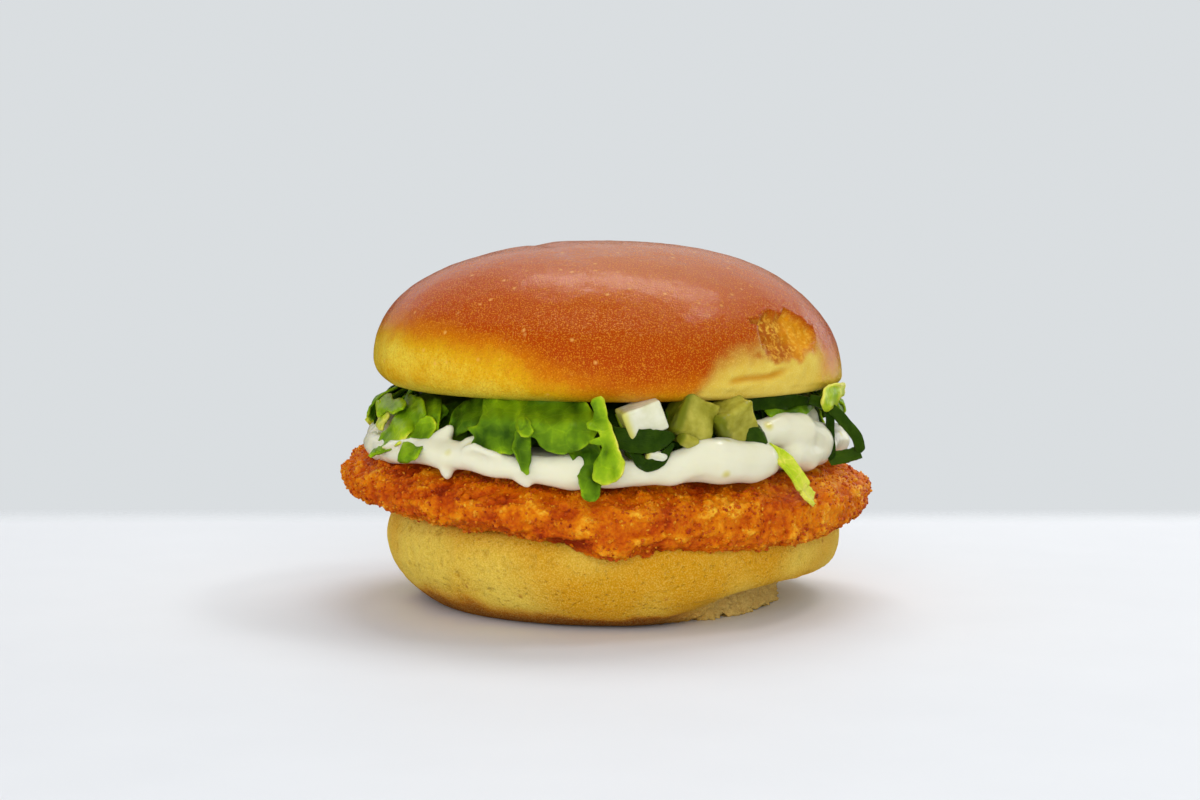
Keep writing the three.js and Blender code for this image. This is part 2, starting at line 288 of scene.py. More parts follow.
def heel_place(angle, share):
    """Flat foot, rounded side, and a cut face that follows the patty's underside. Where the side is
    torn it is a wall of crumb, a gap over it, and the lip of the lifted crust."""
    lifted = smooth(0.1, 0.75, rim_bump(angle, HEEL_LIFT_TURN, HEEL_LIFT_WIDTH))
    swell = 1 + 0.01 * np.sin(3 * angle) + 0.006 * np.sin(4 * angle + 1)
    rim = (HEEL_RIM + HEEL_OFF_CENTRE * np.cos(angle)) * swell
    along = np.clip((share - FOOT_SHARE) / (SIDE_SHARE - FOOT_SHARE), 0, 1)
    side = along * math.pi / 2
    inner = HEEL_FOOT + 1 * MM
    edge = rim - HEEL_LIP
    curl = np.clip((along - 0.6) / 0.4, 0, 1) * math.pi / 2
    torn_radius = inner + (edge - inner) * np.clip((along - 0.3) / 0.3, 0, 1) + HEEL_LIP * np.sin(curl)
    torn_height = HEEL_LIFT * np.clip(along / 0.3, 0, 1)
    torn_height = torn_height + (HEEL_RIM_HEIGHT - HEEL_LIFT) * (1 - np.cos(curl))
    fullness = 1 + 0.7 * rim_bump(angle, 208, 45)
    radius = HEEL_FOOT + (rim - HEEL_FOOT) * np.sin(side) ** fullness
    height = HEEL_RIM_HEIGHT * (1 - np.cos(side))
    radius = radius + (torn_radius - radius) * lifted
    radius = np.where(share < FOOT_SHARE, HEEL_FOOT * share / FOOT_SHARE, radius)
    height = height + (torn_height - height) * lifted * (share > FOOT_SHARE)
    shoulder = np.clip((share - SIDE_SHARE) / (SHOULDER_SHARE - SIDE_SHARE), 0, 1) * math.pi / 2
    radius = radius - HEEL_SHOULDER * (1 - np.cos(shoulder))
    height = height + (HEEL_TOP - HEEL_RIM_HEIGHT) * np.sin(shoulder)
    radius = radius * (1 - np.clip((share - SHOULDER_SHARE) / (1 - SHOULDER_SHARE), 0, 1))
    x, y = radius * np.cos(angle), radius * np.sin(angle)
    under_patty = patty_top_and_foot(x, y)[1] + TUCK * smooth(38 * MM, 46 * MM, np.hypot(x, y))
    return x, y, np.where(share > 0.6, np.minimum(height, under_patty), height)


heel = ring_piece("brioche_heel", 400, 150, heel_place)
points = places_of(heel)
turns = np.arctan2(points[:, 1], points[:, 0])
reach = np.hypot(points[:, 0], points[:, 1])
height = points[:, 2] / MM
lifted = smooth(0.1, 0.6, rim_bump(turns, HEEL_LIFT_TURN, HEEL_LIFT_WIDTH))
side = smooth(0.5, 4, height) * (1 - smooth(18, 20, height))
torn = lifted * smooth(36 * MM, 38 * MM, reach) * (1 - smooth(43 * MM, 46 * MM, reach))
torn = torn * (1 - smooth(7.6, 8.6, height))
left = rim_bump(turns, 219, 32)
relief = 0.4 * bumps(points, 19 * MM, 1) + 0.16 * bumps(points, 7 * MM, 2)
wrinkles = -np.abs(bumps(points * (1.5, 1.5, 0.8), 4.5 * MM, 3)) * (0.35 + 0.65 * left)
wrinkles = wrinkles * smooth(4, 9, height)
pits = np.minimum(0, bumps(points * (1.3, 1.3, 0.8), 2 * MM, 7) + 0.3) * (0.5 + 0.9 * left)
pits = pits * smooth(2, 6, height)
crumb = 1.2 * bumps(points, 3.4 * MM, 4) + 1.3 * bumps(points, 1.4 * MM, 5)
crumb = crumb + 0.6 * bumps(points, 0.7 * MM, 10) - 0.3
push(heel, MM * (side * (1 - torn) * (relief + 0.8 * wrinkles + pits) + torn * crumb))
standing = places_of(heel)
standing[:, 2] = np.maximum(standing[:, 2], 0)
put(heel, standing)
corner = rim_bump(turns, 219, 26)
line = height + 1.1 * bumps(points, 9 * MM, 6) + 0.5 * bumps(points, 3 * MM, 8)
# The dark band round the foot is brown crust and painted contact shadow where the heel meets the table.
paint(heel, "browned", (1 - smooth(1.6, 4.2 + 4.6 * corner, line)) * (1 - torn))
paint(heel, "torn", torn)
paint(heel, "pits", np.clip(-pits * 1.6 - wrinkles * 0.35, 0, 1))
warm = 0.7 + 0.35 * rim_bump(turns, 285, 45) - 0.8 * left - 0.4 * rim_bump(turns, 90, 90)
paint(heel, "warm", np.clip(warm + bumps(points, 13 * MM, 9), 0, 1))


def ramp(tree, factor, stops):
    """A colour ramp from (place, colour) pairs."""
    made = add_node(tree, "ShaderNodeValToRGB", {"Fac": factor})
    elements = made.color_ramp.elements
    while len(elements) < len(stops):
        elements.new(1)
    for element, (place, color) in zip(elements, stops):
        element.position = place
        element.color = (*color, 1)
    return made.outputs["Color"]


def number(tree, operation, *values):
    """One Math node on sockets or numbers."""
    return add_node(tree, "ShaderNodeMath", dict(enumerate(values)), operation=operation).outputs[0]


def blend(tree, mask, strength, below, above):
    """Lays the colour above over the one below where the mask is, as strongly as it says."""
    return mix(tree, number(tree, "MULTIPLY", mask, strength), below, above)


def stretched(tree, value, scale, offset, highest=1):
    """A value scaled and shifted, then held between 0 and the highest."""
    scaled = number(tree, "MULTIPLY_ADD", value, scale, offset)
    return number(tree, "MINIMUM", number(tree, "MAXIMUM", scaled, 0), highest)


def speck_group():
    """Small soft-edged flecks, such as pores, crumbs or chopped herbs, spread through the material."""
    group = bpy.data.node_groups.new("flecks", "ShaderNodeTree")
    for name, kind, value in (
        ("Vector", "NodeSocketVector", None),
        ("Scale", "NodeSocketFloat", 1000),
        ("Size", "NodeSocketFloat", 0.3),
        ("Share", "NodeSocketFloat", 0.5),
    ):
        socket = group.interface.new_socket(name, in_out="INPUT", socket_type=kind)
        if value is not None:
            socket.default_value = value
    group.interface.new_socket("Mask", in_out="OUTPUT", socket_type="NodeSocketFloat")
    given = group.nodes.new("NodeGroupInput").outputs
    cells = add_node(group, "ShaderNodeTexVoronoi", {"Vector": given["Vector"], "Scale": given["Scale"]})
    near = number(group, "SUBTRACT", 1, number(group, "DIVIDE", cells.outputs["Distance"], given["Size"]))
    chosen = add_node(group, "ShaderNodeSeparateColor", {0: cells.outputs["Color"]}).outputs[0]
    kept = number(group, "LESS_THAN", chosen, given["Share"])
    flecks = number(group, "MULTIPLY", number(group, "MAXIMUM", near, 0), kept)
    add_node(group, "NodeGroupOutput", {"Mask": flecks})
    return group


FLECKS = speck_group()


def fleck_mask(tree, vector, scale, size, share):
    made = tree.nodes.new("ShaderNodeGroup")
    made.node_tree = FLECKS
    tree.links.new(vector, made.inputs["Vector"])
    for socket, value in (("Scale", scale), ("Size", size), ("Share", share)):
        made.inputs[socket].default_value = value
    return made.outputs["Mask"]


def attribute(tree, name):
    return add_node(tree, "ShaderNodeAttribute", attribute_name=name).outputs["Fac"]


def noise_at(tree, vector, scale, detail=3, roughness=0.5):
    inputs = {"Vector": vector, "Scale": scale, "Detail": detail, "Roughness": roughness}
    return add_node(tree, "ShaderNodeTexNoise", inputs).outputs["Fac"]


def bump_into(tree, shader, height, distance, strength=1.0):
    inputs = {"Height": height, "Distance": distance, "Strength": strength}
    made = add_node(tree, "ShaderNodeBump", inputs)
    tree.links.new(made.outputs["Normal"], shader.inputs["Normal"])


bread, shader = new_material("brioche_side", Roughness=0.75, Subsurface_Weight=0.1, Subsurface_Scale=0.002)
shader.inputs["Specular IOR Level"].default_value = 0.06
shader.inputs["Subsurface Radius"].default_value = (1.0, 0.6, 0.25)
tree = bread.node_tree
place = object_place(tree)
broad = noise_at(tree, place, 130, 4, 0.6)
fine = noise_at(tree, place, 1400, 4, 0.7)
skin = mix(tree, attribute(tree, "warm"), (0.86, 0.64, 0.10), (0.68, 0.30, 0.004))
skin = blend(tree, broad, 0.5, skin, (0.60, 0.36, 0.014))
# These browns carry the brown foot and its painted contact shadow.
baked = number(tree, "MULTIPLY", attribute(tree, "browned"), number(tree, "MULTIPLY_ADD", broad, 0.8, 0.6))
browns = ramp(tree, baked, [
    (0.0, (0.62, 0.34, 0.01)),
    (0.4, (0.58, 0.20, 0.004)),
    (1.0, (0.22, 0.045, 0.001)),
])
color = blend(tree, baked, 1.4, skin, browns)
color = blend(tree, attribute(tree, "pits"), 0.7, color, (0.42, 0.22, 0.012))
color = mix(tree, attribute(tree, "torn"), color, (0.66, 0.44, 0.13))
speckle = noise_at(tree, place, 3200, 2, 0.6)
color = blend(tree, number(tree, "GREATER_THAN", speckle, 0.55), 0.22, color, (0.92, 0.76, 0.22))
color = blend(tree, number(tree, "LESS_THAN", speckle, 0.45), 0.28, color, (0.46, 0.25, 0.01))
spots = fleck_mask(tree, place, 170, 0.14, 0.2)
color = blend(tree, spots, 0.9, color, (0.34, 0.08, 0.005))
tree.links.new(color, shader.inputs["Base Color"])
pores = fleck_mask(tree, place, 900, 0.4, 0.5)
bump_into(tree, shader, number(tree, "SUBTRACT", fine, pores), 0.35 * MM)
heel.data.materials.append(bread)
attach(heel, "root")
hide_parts("bun_heel")


# ------------------------------------------------------------------------------------------------
# Patty: minced chicken shaped flat, rolled in breadcrumbs and fried. The crumb is clumped, with loose
# crumbs standing on it. It is coloured gold where it stands proud and red-brown in the hollows, partly
# its own colour and partly painted highlight and shade.
CLUMP_REACH = 2.4 * MM
CLUMP_TURN = 272
CLUMP_DROP = 2.3 * MM
HOLLOW_TURN = 263
HOLLOW_HEIGHT = 18.6
RAISED_TURN = 190
SCORCHED = ((207, 19.5), (232, 17.5), (81, 20), (140, 18))


def patty_place(angle, share):
    """A flat oval with a blunt rim, where the rows stand closest together. Its left end curls up a
    little, and a clump of crumb hangs from the front."""
    t = 2 * share - 1
    turned = (0.5 * t + 0.5 * t**3) * math.pi / 2
    right, back = np.cos(angle), np.sin(angle)
    lumps = 0.012 * np.sin(3 * angle + 1) + 0.008 * np.sin(7 * angle)
    reach = np.hypot(PATTY_WIDTH / 2 * right, PATTY_DEPTH / 2 * back) * (1 + lumps)
    raised = rim_bump(angle, RAISED_TURN, 22)
    low = 1 - smooth(-0.6, 0.6, np.sin(turned))
    rim = reach + CLUMP_REACH * low * rim_bump(angle, CLUMP_TURN, 10) + 0.8 * MM * raised
    power = 2 / np.where(turned < 0, lower_squareness(angle), PATTY_SQUARENESS)
    radius = rim * np.maximum(0, np.cos(turned)) ** power
    lift = np.sign(turned) * PATTY_THICK / 2 * np.abs(np.sin(turned)) ** power
    x, y = radius * right, radius * back
    sag = PATTY_SAG * smooth(20 * MM, 55 * MM, -y)
    wedge = PATTY_WEDGE * x * np.maximum(0, -np.sin(turned))
    lift = lift + 2.6 * MM * raised * smooth(0, 0.6, np.sin(turned)) * smooth(36 * MM, 46 * MM, radius)
    lift = lift - CLUMP_DROP * low * rim_bump(angle, CLUMP_TURN - 6, 12) * smooth(45 * MM, 52 * MM, radius)
    return x, y, PATTY_MIDDLE + PATTY_SLOPE * x + wedge + lift - sag


def granules(points, size, seed):
    """Rounded grains packed side by side, from 0 between them to about 1 on the largest."""
    shift = Vector((seed * 3.71, seed * 5.17, seed * 2.73))
    heights = []
    for point in points:
        near = Vector(point) / size + shift
        distances, centres = noise.voronoi(near)
        own = 0.55 + 0.45 * noise.cell(centres[0] * 3.1)
        heights.append(own * max(0, 1 - distances[0] ** 2 * 1.6))
    return np.array(heights)


patty = ring_piece("breaded_patty", 760, 120, patty_place)
points = places_of(patty)
turns = np.arctan2(points[:, 1], points[:, 0])
clump = rim_bump(turns, CLUMP_TURN, 11) * (1 - smooth(24 * MM, 32 * MM, points[:, 2]))
lumps = 0.8 * bumps(points * (1, 1, 1.4), 11 * MM, 11)
lumps = lumps + 0.6 * bumps(points * (0.9, 0.9, 1.8), 5.5 * MM, 16)
clots = smooth(-0.25, 0.4, bumps(points * (0.8, 0.8, 1.5), 3.6 * MM, 12)) - 0.5
crumbs = 0.75 * granules(points, 1.3 * MM, 13) + 0.45 * granules(points, 2.6 * MM, 17) - 0.3
hollow = rim_bump(turns, HOLLOW_TURN, 5.5) * np.exp(-(((points[:, 2] / MM - HOLLOW_HEIGHT) / 2.2) ** 2))
coating = smooth(38 * MM, 46 * MM, np.hypot(points[:, 0], points[:, 1]))
proud = 0.85 * lumps + (0.9 + 0.5 * clump) * clots + 0.6 * clump - 2.4 * hollow
push(patty, MM * coating * (0.62 * proud + crumbs))
golden = 0.3 * rim_bump(turns, 334, 20)
# Raised crumb is painted lighter and hollows darker: partly the crumb's colour, partly painted highlight and
# shade.
paint(patty, "proud", 0.46 + 0.36 * proud * (1 - golden) + 0.4 * np.maximum(crumbs, -0.12) + golden)
paint(patty, "coating", coating)
spots = sum(rim_bump(turns, turn, 3.2) * np.exp(-(((points[:, 2] - height * MM) / (2.2 * MM)) ** 2))
            for turn, height in SCORCHED)
paint(patty, "scorched", spots * np.clip(0.7 + bumps(points, 2 * MM, 15), 0, 1))


def scatter_tree():
    """Geometry Nodes that stand small uneven grains on a surface, each with a tone of its own."""
    group = bpy.data.node_groups.new("grains", "GeometryNodeTree")
    group.interface.new_socket("Geometry", in_out="INPUT", socket_type="NodeSocketGeometry")
    for name, kind in (
        ("Density", "NodeSocketFloat"),
        ("Smallest", "NodeSocketFloat"),
        ("Largest", "NodeSocketFloat"),
        ("Rounds", "NodeSocketInt"),
        ("Seed", "NodeSocketInt"),
        ("Finish", "NodeSocketMaterial"),
    ):
        group.interface.new_socket(name, in_out="INPUT", socket_type=kind)
    group.interface.new_socket("Geometry", in_out="OUTPUT", socket_type="NodeSocketGeometry")
    given = group.nodes.new("NodeGroupInput").outputs
    room = add_node(group, "GeometryNodeInputNamedAttribute", {"Name": "room"}, data_type="FLOAT")
    density = number(group, "MULTIPLY", room.outputs["Attribute"], given["Density"])
    spread = add_node(group, "GeometryNodeDistributePointsOnFaces",
                      {"Mesh": given["Geometry"], "Density": density, "Seed": given["Seed"]})
    grain = add_node(group, "GeometryNodeMeshIcoSphere", {"Radius": 0.5, "Subdivisions": given["Rounds"]})
    turn = add_node(group, "FunctionNodeRandomValue", {"Seed": given["Seed"]}, data_type="FLOAT_VECTOR")
    turn.inputs[1].default_value = (math.tau,) * 3
    smallest = add_node(group, "ShaderNodeCombineXYZ", {i: given["Smallest"] for i in range(3)})
    largest = add_node(group, "ShaderNodeCombineXYZ", {i: given["Largest"] for i in range(3)})
    size = add_node(group, "FunctionNodeRandomValue",
                    {0: smallest.outputs[0], 1: largest.outputs[0]}, data_type="FLOAT_VECTOR")
    placed = add_node(group, "GeometryNodeInstanceOnPoints", {
        "Points": spread.outputs["Points"],
        "Instance": grain.outputs["Mesh"],
        "Rotation": turn.outputs[0],
        "Scale": size.outputs[0],
    })
    tone = add_node(group, "FunctionNodeRandomValue", {"Seed": given["Seed"]}, data_type="FLOAT")
    toned = add_node(group, "GeometryNodeStoreNamedAttribute",
                     {"Geometry": placed.outputs[0], "Name": "tone", "Value": tone.outputs[1]},
                     data_type="FLOAT", domain="INSTANCE")
    realized = add_node(group, "GeometryNodeRealizeInstances", {0: toned.outputs[0]})
    finish = {0: realized.outputs[0], "Material": given["Finish"]}
    painted = add_node(group, "GeometryNodeSetMaterial", finish)
    add_node(group, "NodeGroupOutput", {0: painted.outputs[0]})
    return group


GRAINS = scatter_tree()


def scattered(name, ground, **inputs):
    """Grains stood on a piece where its room layer says, as a plain mesh of their own."""
    holder = bpy.data.objects.new(name, ground.data)
    bpy.context.scene.collection.objects.link(holder)
    modifier = holder.modifiers.new("grains", "NODES")
    modifier.node_group = GRAINS
    for socket in GRAINS.interface.items_tree:
        if socket.in_out == "INPUT" and socket.name in inputs:
            modifier[socket.identifier] = inputs[socket.name]
    bpy.context.view_layer.update()
    evaluated = holder.evaluated_get(bpy.context.evaluated_depsgraph_get())
    mesh = bpy.data.meshes.new_from_object(evaluated)
    holder.modifiers.clear()
    holder.data = mesh
    mesh.name = name
    return holder


def breading(name, tone_layer, gloss):
    """Fried breadcrumb, coloured by how far it stands proud (partly painted highlight and shade) or by each
    grain's own tone.
    """
    made, shader = new_material(name, Subsurface_Weight=0.15, Subsurface_Scale=0.0012)
    shader.inputs["Specular IOR Level"].default_value = gloss
    shader.inputs["Subsurface Radius"].default_value = (1.0, 0.35, 0.05)
    tree = made.node_tree
    place = object_place(tree)
    broad = noise_at(tree, place, 130, 3, 0.6)
    clotted = noise_at(tree, place, 330, 3, 0.6)
    fine = noise_at(tree, place, 1500, 3, 0.7)
    tone = number(tree, "MULTIPLY_ADD", broad, 0.9, number(tree, "MULTIPLY_ADD", clotted, 0.7, -0.8))
    tone = number(tree, "ADD", tone, number(tree, "MULTIPLY_ADD", fine, 0.6, -0.3))
    tone = number(tree, "ADD", tone, number(tree, "MULTIPLY_ADD", attribute(tree, tone_layer), 0.56, 0.22))
    color = ramp(tree, tone, [
        (0.12, (0.26, 0.02, 0.001)),
        (0.32, (0.48, 0.06, 0.0008)),
        (0.5, (0.62, 0.125, 0.0008)),
        (0.7, (0.74, 0.22, 0.001)),
        (0.95, (0.92, 0.48, 0.03)),
    ])
    if tone_layer == "proud":
        color = mix(tree, attribute(tree, "scorched"), color, (0.10, 0.02, 0.004))
    tree.links.new(color, shader.inputs["Base Color"])
    oiled = number(tree, "MULTIPLY_ADD", noise_at(tree, place, 300), -0.5, 0.64)
    tree.links.new(oiled, shader.inputs["Roughness"])
    bump_into(tree, shader, noise_at(tree, place, 2600, 3, 0.7), 0.3 * MM, 0.7)
    return made


patty.data.materials.append(breading("breading", "proud", 0.12))
room = coating * (0.35 + smooth(0.3, 0.9, 0.5 + 0.3 * proud))
paint(patty, "room", room * (1 - 0.8 * np.clip(hollow, 0, 1)))
loose = breading("loose_crumb", "tone", 0.35)
fine_crumbs = scattered("fine_crumbs", patty, Density=800000.0, Smallest=0.3 * MM, Largest=0.95 * MM,
                        Rounds=1, Seed=3, Finish=loose)
coarse_crumbs = scattered("coarse_crumbs", patty, Density=70000.0, Smallest=0.7 * MM, Largest=1.7 * MM,
                          Rounds=1, Seed=8, Finish=loose)
for piece in (patty, fine_crumbs, coarse_crumbs):
    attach(piece, "root")
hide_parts("patty")


# ------------------------------------------------------------------------------------------------
# Sauce: thick mayonnaise with chopped relish, spooned on the patty and pressed out by the layers
# above into fat rolls and small drips. Each roll is a row of (turn, reach, height, half thickness)
# in degrees and millimetres.
SAUCE_VOXEL = 0.55 * MM
SAUCE_MIDDLE = 34.6 * MM
SAUCE_REACH = 48 * MM
FRONT_ROLLS = (
    # the left end, with two drips that were drawn up between the leaves
    ((184, 51.4, 35.4, 2.0), (196, 52, 35.2, 2.8), (208, 51.6, 35.6, 3.1), (220, 51, 36.2, 3.2),
     (232, 50.8, 36.2, 3.3)),
    ((226, 49.8, 38.5, 2.2), (229, 49.4, 41.2, 1.1)),
    ((236, 50, 38, 2.1), (239, 49.6, 40.2, 1.0)),
    # the front, with two drips that hang over the patty
    ((232, 50.8, 36.2, 3.1), (242, 51, 35, 2.8), (250, 51.2, 34.3, 2.6), (257, 51.2, 34.2, 3.3),
     (263, 51, 34.2, 3.8)),
    ((263, 51, 34.2, 3.8), (269, 51.2, 33.6, 3.3), (275, 51.2, 33.3, 2.8), (281, 50.8, 33.6, 2.7),
     (286, 50.8, 34.2, 3.2)),
    ((231, 51.8, 33.6, 1.5), (231.5, 52.4, 31.9, 0.9)),
    ((250, 52, 33, 1.6), (252.5, 52.6, 31.4, 0.9)),
    # the front right: a fat roll, and a larger one that folds down behind it
    ((286, 50.6, 34.6, 3.4), (293, 50.8, 35.7, 4.5), (300, 51, 35.5, 4.8), (306, 51, 34.8, 4.5),
     (311, 50.2, 34.4, 3.6)),
    ((312, 48, 40.2, 3.0), (319, 48.4, 40.8, 3.7), (327, 48.5, 39.4, 4.3), (335, 48.6, 37.2, 4.6),
     (342, 48.2, 35.4, 4.2)),
    ((339, 48.6, 34.8, 3.8), (330, 49.6, 34.6, 3.6), (322, 50, 35.2, 3.0)),
    # thin threads on the leaves, and a roll at the back right
    ((212, 55.4, 36.6, 0.6), (216, 54.6, 38.0, 0.8), (220.5, 53.2, 39.0, 0.7)),
    ((237.5, 53, 37.6, 1.0), (240, 53.6, 38.6, 1.2), (243, 53.6, 37.6, 1.0), (246, 53, 36.6, 1.0)),
    ((334, 45, 42, 2.9), (343, 45.4, 41.6, 3.0), (351, 45.2, 38.6, 2.8)),
)


def around_burger(turn, reach, height):
    """A point in metres from a turn in degrees, and a reach from the middle and a height in mm."""
    angle = math.radians(turn)
    return Vector((reach * math.cos(angle), reach * math.sin(angle), height)) * MM


def back_roll():
    """The rest of the rim, from the right round the back to the left end of the front."""
    for turn in range(344, 547, 5):
        wave = math.radians(turn)
        reach = 50.2 + 1.1 * math.sin(7 * wave + 1) + 0.5 * math.sin(13 * wave)
        height = 35.4 - 1.2 * math.cos(wave) + 0.9 * math.sin(5 * wave + 2)
        yield turn, reach, height, 3.3 + 0.7 * math.sin(7 * wave)


def sauce_layer(angle, share):
    """The flat layer between the patty and the salad, inside the rolls."""
    turned = (share - 0.5) * math.pi
    radius = SAUCE_REACH * np.maximum(0, np.cos(turned)) ** 0.5
    x = radius * np.cos(angle)
    lift = 3.4 * MM * np.sign(turned) * np.abs(np.sin(turned)) ** 0.55
    return x, radius * np.sin(angle), SAUCE_MIDDLE + PATTY_SLOPE * x + lift


sauce = ring_piece("white_sauce", 96, 16, sauce_layer)
shape = bmesh.new()
shape.from_mesh(sauce.data)
for roll in (*FRONT_ROLLS, tuple(back_roll())):
    for start, end in zip(roll, roll[1:]):
        apart = (around_burger(*start[:3]) - around_burger(*end[:3])).length
        steps = max(2, round(apart / (0.16 * MM * min(start[3], end[3]))))
        for i in range(steps + 1):
            turn, reach, height, fat = (a + (b - a) * i / steps for a, b in zip(start, end))
            at = Matrix.Translation(around_burger(turn, reach, height))
            bmesh.ops.create_icosphere(shape, subdivisions=2, radius=fat * MM, matrix=at)
shape.to_mesh(sauce.data)
shape.free()


def settled(piece, *modifiers):
    """The piece as a plain mesh, with these modifiers applied. Each is a kind and its settings."""
    for kind, settings in modifiers:
        modifier = piece.modifiers.new(kind.lower(), kind)
        for key, value in settings.items():
            setattr(modifier, key, value)
    bpy.context.view_layer.update()
    evaluated = piece.evaluated_get(bpy.context.evaluated_depsgraph_get())
    mesh = bpy.data.meshes.new_from_object(evaluated)
    piece.modifiers.clear()
    piece.data = mesh
    mesh.name = piece.name
    mesh.shade_smooth()


settled(
    sauce,
    ("REMESH", {"mode": "VOXEL", "voxel_size": SAUCE_VOXEL}),
    ("SMOOTH", {"factor": 0.5, "iterations": 7}),
)
points = places_of(sauce)
rim_share = smooth(42 * MM, 47 * MM, np.hypot(points[:, 0], points[:, 1]))
push(sauce, MM * rim_share * (0.7 * bumps(points, 6 * MM, 41) + 0.12 * bumps(points, 2.6 * MM, 42)))

cream, shader = new_material("mayonnaise", Roughness=0.24, Subsurface_Weight=0.35, Subsurface_Scale=0.004)
shader.inputs["Subsurface Radius"].default_value = (1.0, 0.8, 0.45)
tree = cream.node_tree
place = object_place(tree)
color = mix(tree, noise_at(tree, place, 160), (0.76, 0.73, 0.50), (0.82, 0.80, 0.62))
relish = fleck_mask(tree, place, 210, 0.3, 0.3)
color = blend(tree, relish, 1.4, color, (0.66, 0.60, 0.16))
tree.links.new(color, shader.inputs["Base Color"])
bump_into(tree, shader, number(tree, "ADD", noise_at(tree, place, 500), relish), 0.15 * MM, 0.35)
sauce.data.materials.append(cream)
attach(sauce, "root")
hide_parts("sauce")


# ------------------------------------------------------------------------------------------------
# Salad core: the imported middle of the heap of shredded lettuce, lumpy, and painted dark as the shade
# between the layers.
# It stays a few millimetres inside the outline, and the separate leaves stand round it.
CORE_REACH = 43.5
CORE_HALF = 5.6 * MM
CORE_MIDDLE = 41.4 * MM
VEIN_WARP = 2 * MM


def core_place(angle, share):
    turned = (share - 0.5) * math.pi
    ruffle = 0.8 * np.sin(9 * angle) + 0.7 * np.sin(23 * angle + 2)
    radius = (CORE_REACH + ruffle) * MM * np.maximum(0, np.cos(turned)) ** 0.35
    lift = CORE_HALF * np.sign(turned) * np.abs(np.sin(turned)) ** 0.8
    return radius * np.cos(angle), radius * np.sin(angle), CORE_MIDDLE + lift


core = ring_piece("salad_core", 180, 40, core_place)
points = places_of(core)
folds = 0.6 - np.abs(bumps(points, 4.5 * MM, 51)) * 2
push(core, MM * smooth(36 * MM, 42 * MM, np.hypot(points[:, 0], points[:, 1])) * folds)
# Painted shade: the core is dark, and lighter only where its folds stand out.
paint(core, "tone", 0.1 + 0.2 * np.clip(folds, 0, 1))


def leaf_material(name, tones, gloss, streaked=False):
    """A thin waxy leaf, dark to pale by its tone, with a net of fine veins or with streaks along it."""
    made, shader = new_material(name, Roughness=gloss, Subsurface_Weight=0.25, Subsurface_Scale=0.0015)
    shader.inputs["Subsurface Radius"].default_value = (0.7, 1.0, 0.15)
    shader.inputs["Specular IOR Level"].default_value = 0.2
    tree = made.node_tree
    place = object_place(tree)
    crinkle = noise_at(tree, place, 330, 4, 0.6)
    if streaked:
        on_strip = {0: attribute(tree, "across"), 1: attribute(tree, "along")}
        lines = noise_at(tree, add_node(tree, "ShaderNodeCombineXYZ", on_strip).outputs[0], 9, 2)
        vein = number(tree, "MULTIPLY_ADD", lines, 2.4, -0.9)
    else:
        warp = add_node(tree, "ShaderNodeTexNoise", {"Vector": place, "Scale": 250}).outputs["Color"]
        warped = {0: warp, 1: (VEIN_WARP,) * 3, 2: place}
        bent = add_node(tree, "ShaderNodeVectorMath", warped, operation="MULTIPLY_ADD").outputs[0]
        net = {"Vector": bent, "Scale": 300}
        cells = add_node(tree, "ShaderNodeTexVoronoi", net, feature="DISTANCE_TO_EDGE")
        vein = number(tree, "MAXIMUM", number(tree, "MULTIPLY_ADD", cells.outputs["Distance"], -13, 1), 0)
    tone = number(tree, "ADD", attribute(tree, "tone"), number(tree, "MULTIPLY_ADD", crinkle, 0.44, -0.22))
    tone = number(tree, "ADD", tone, number(tree, "MULTIPLY", vein, 0.05))
    tree.links.new(ramp(tree, tone, tones), shader.inputs["Base Color"])
    relief = number(tree, "MULTIPLY_ADD", crinkle, 1.4, number(tree, "MULTIPLY", vein, -0.25))
    bump_into(tree, shader, relief, 0.3 * MM, 0.5)
    return made


lettuce = leaf_material("lettuce", [
    (0.0, (0.008, 0.022, 0.001)),
    (0.25, (0.036, 0.095, 0.002)),
    (0.5, (0.125, 0.245, 0.003)),
    (0.72, (0.27, 0.44, 0.005)),
    (0.9, (0.50, 0.62, 0.02)),
    (1.0, (0.74, 0.72, 0.10)),
], 0.4)
core.data.materials.append(lettuce)
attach(core, "root")
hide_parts("salad")
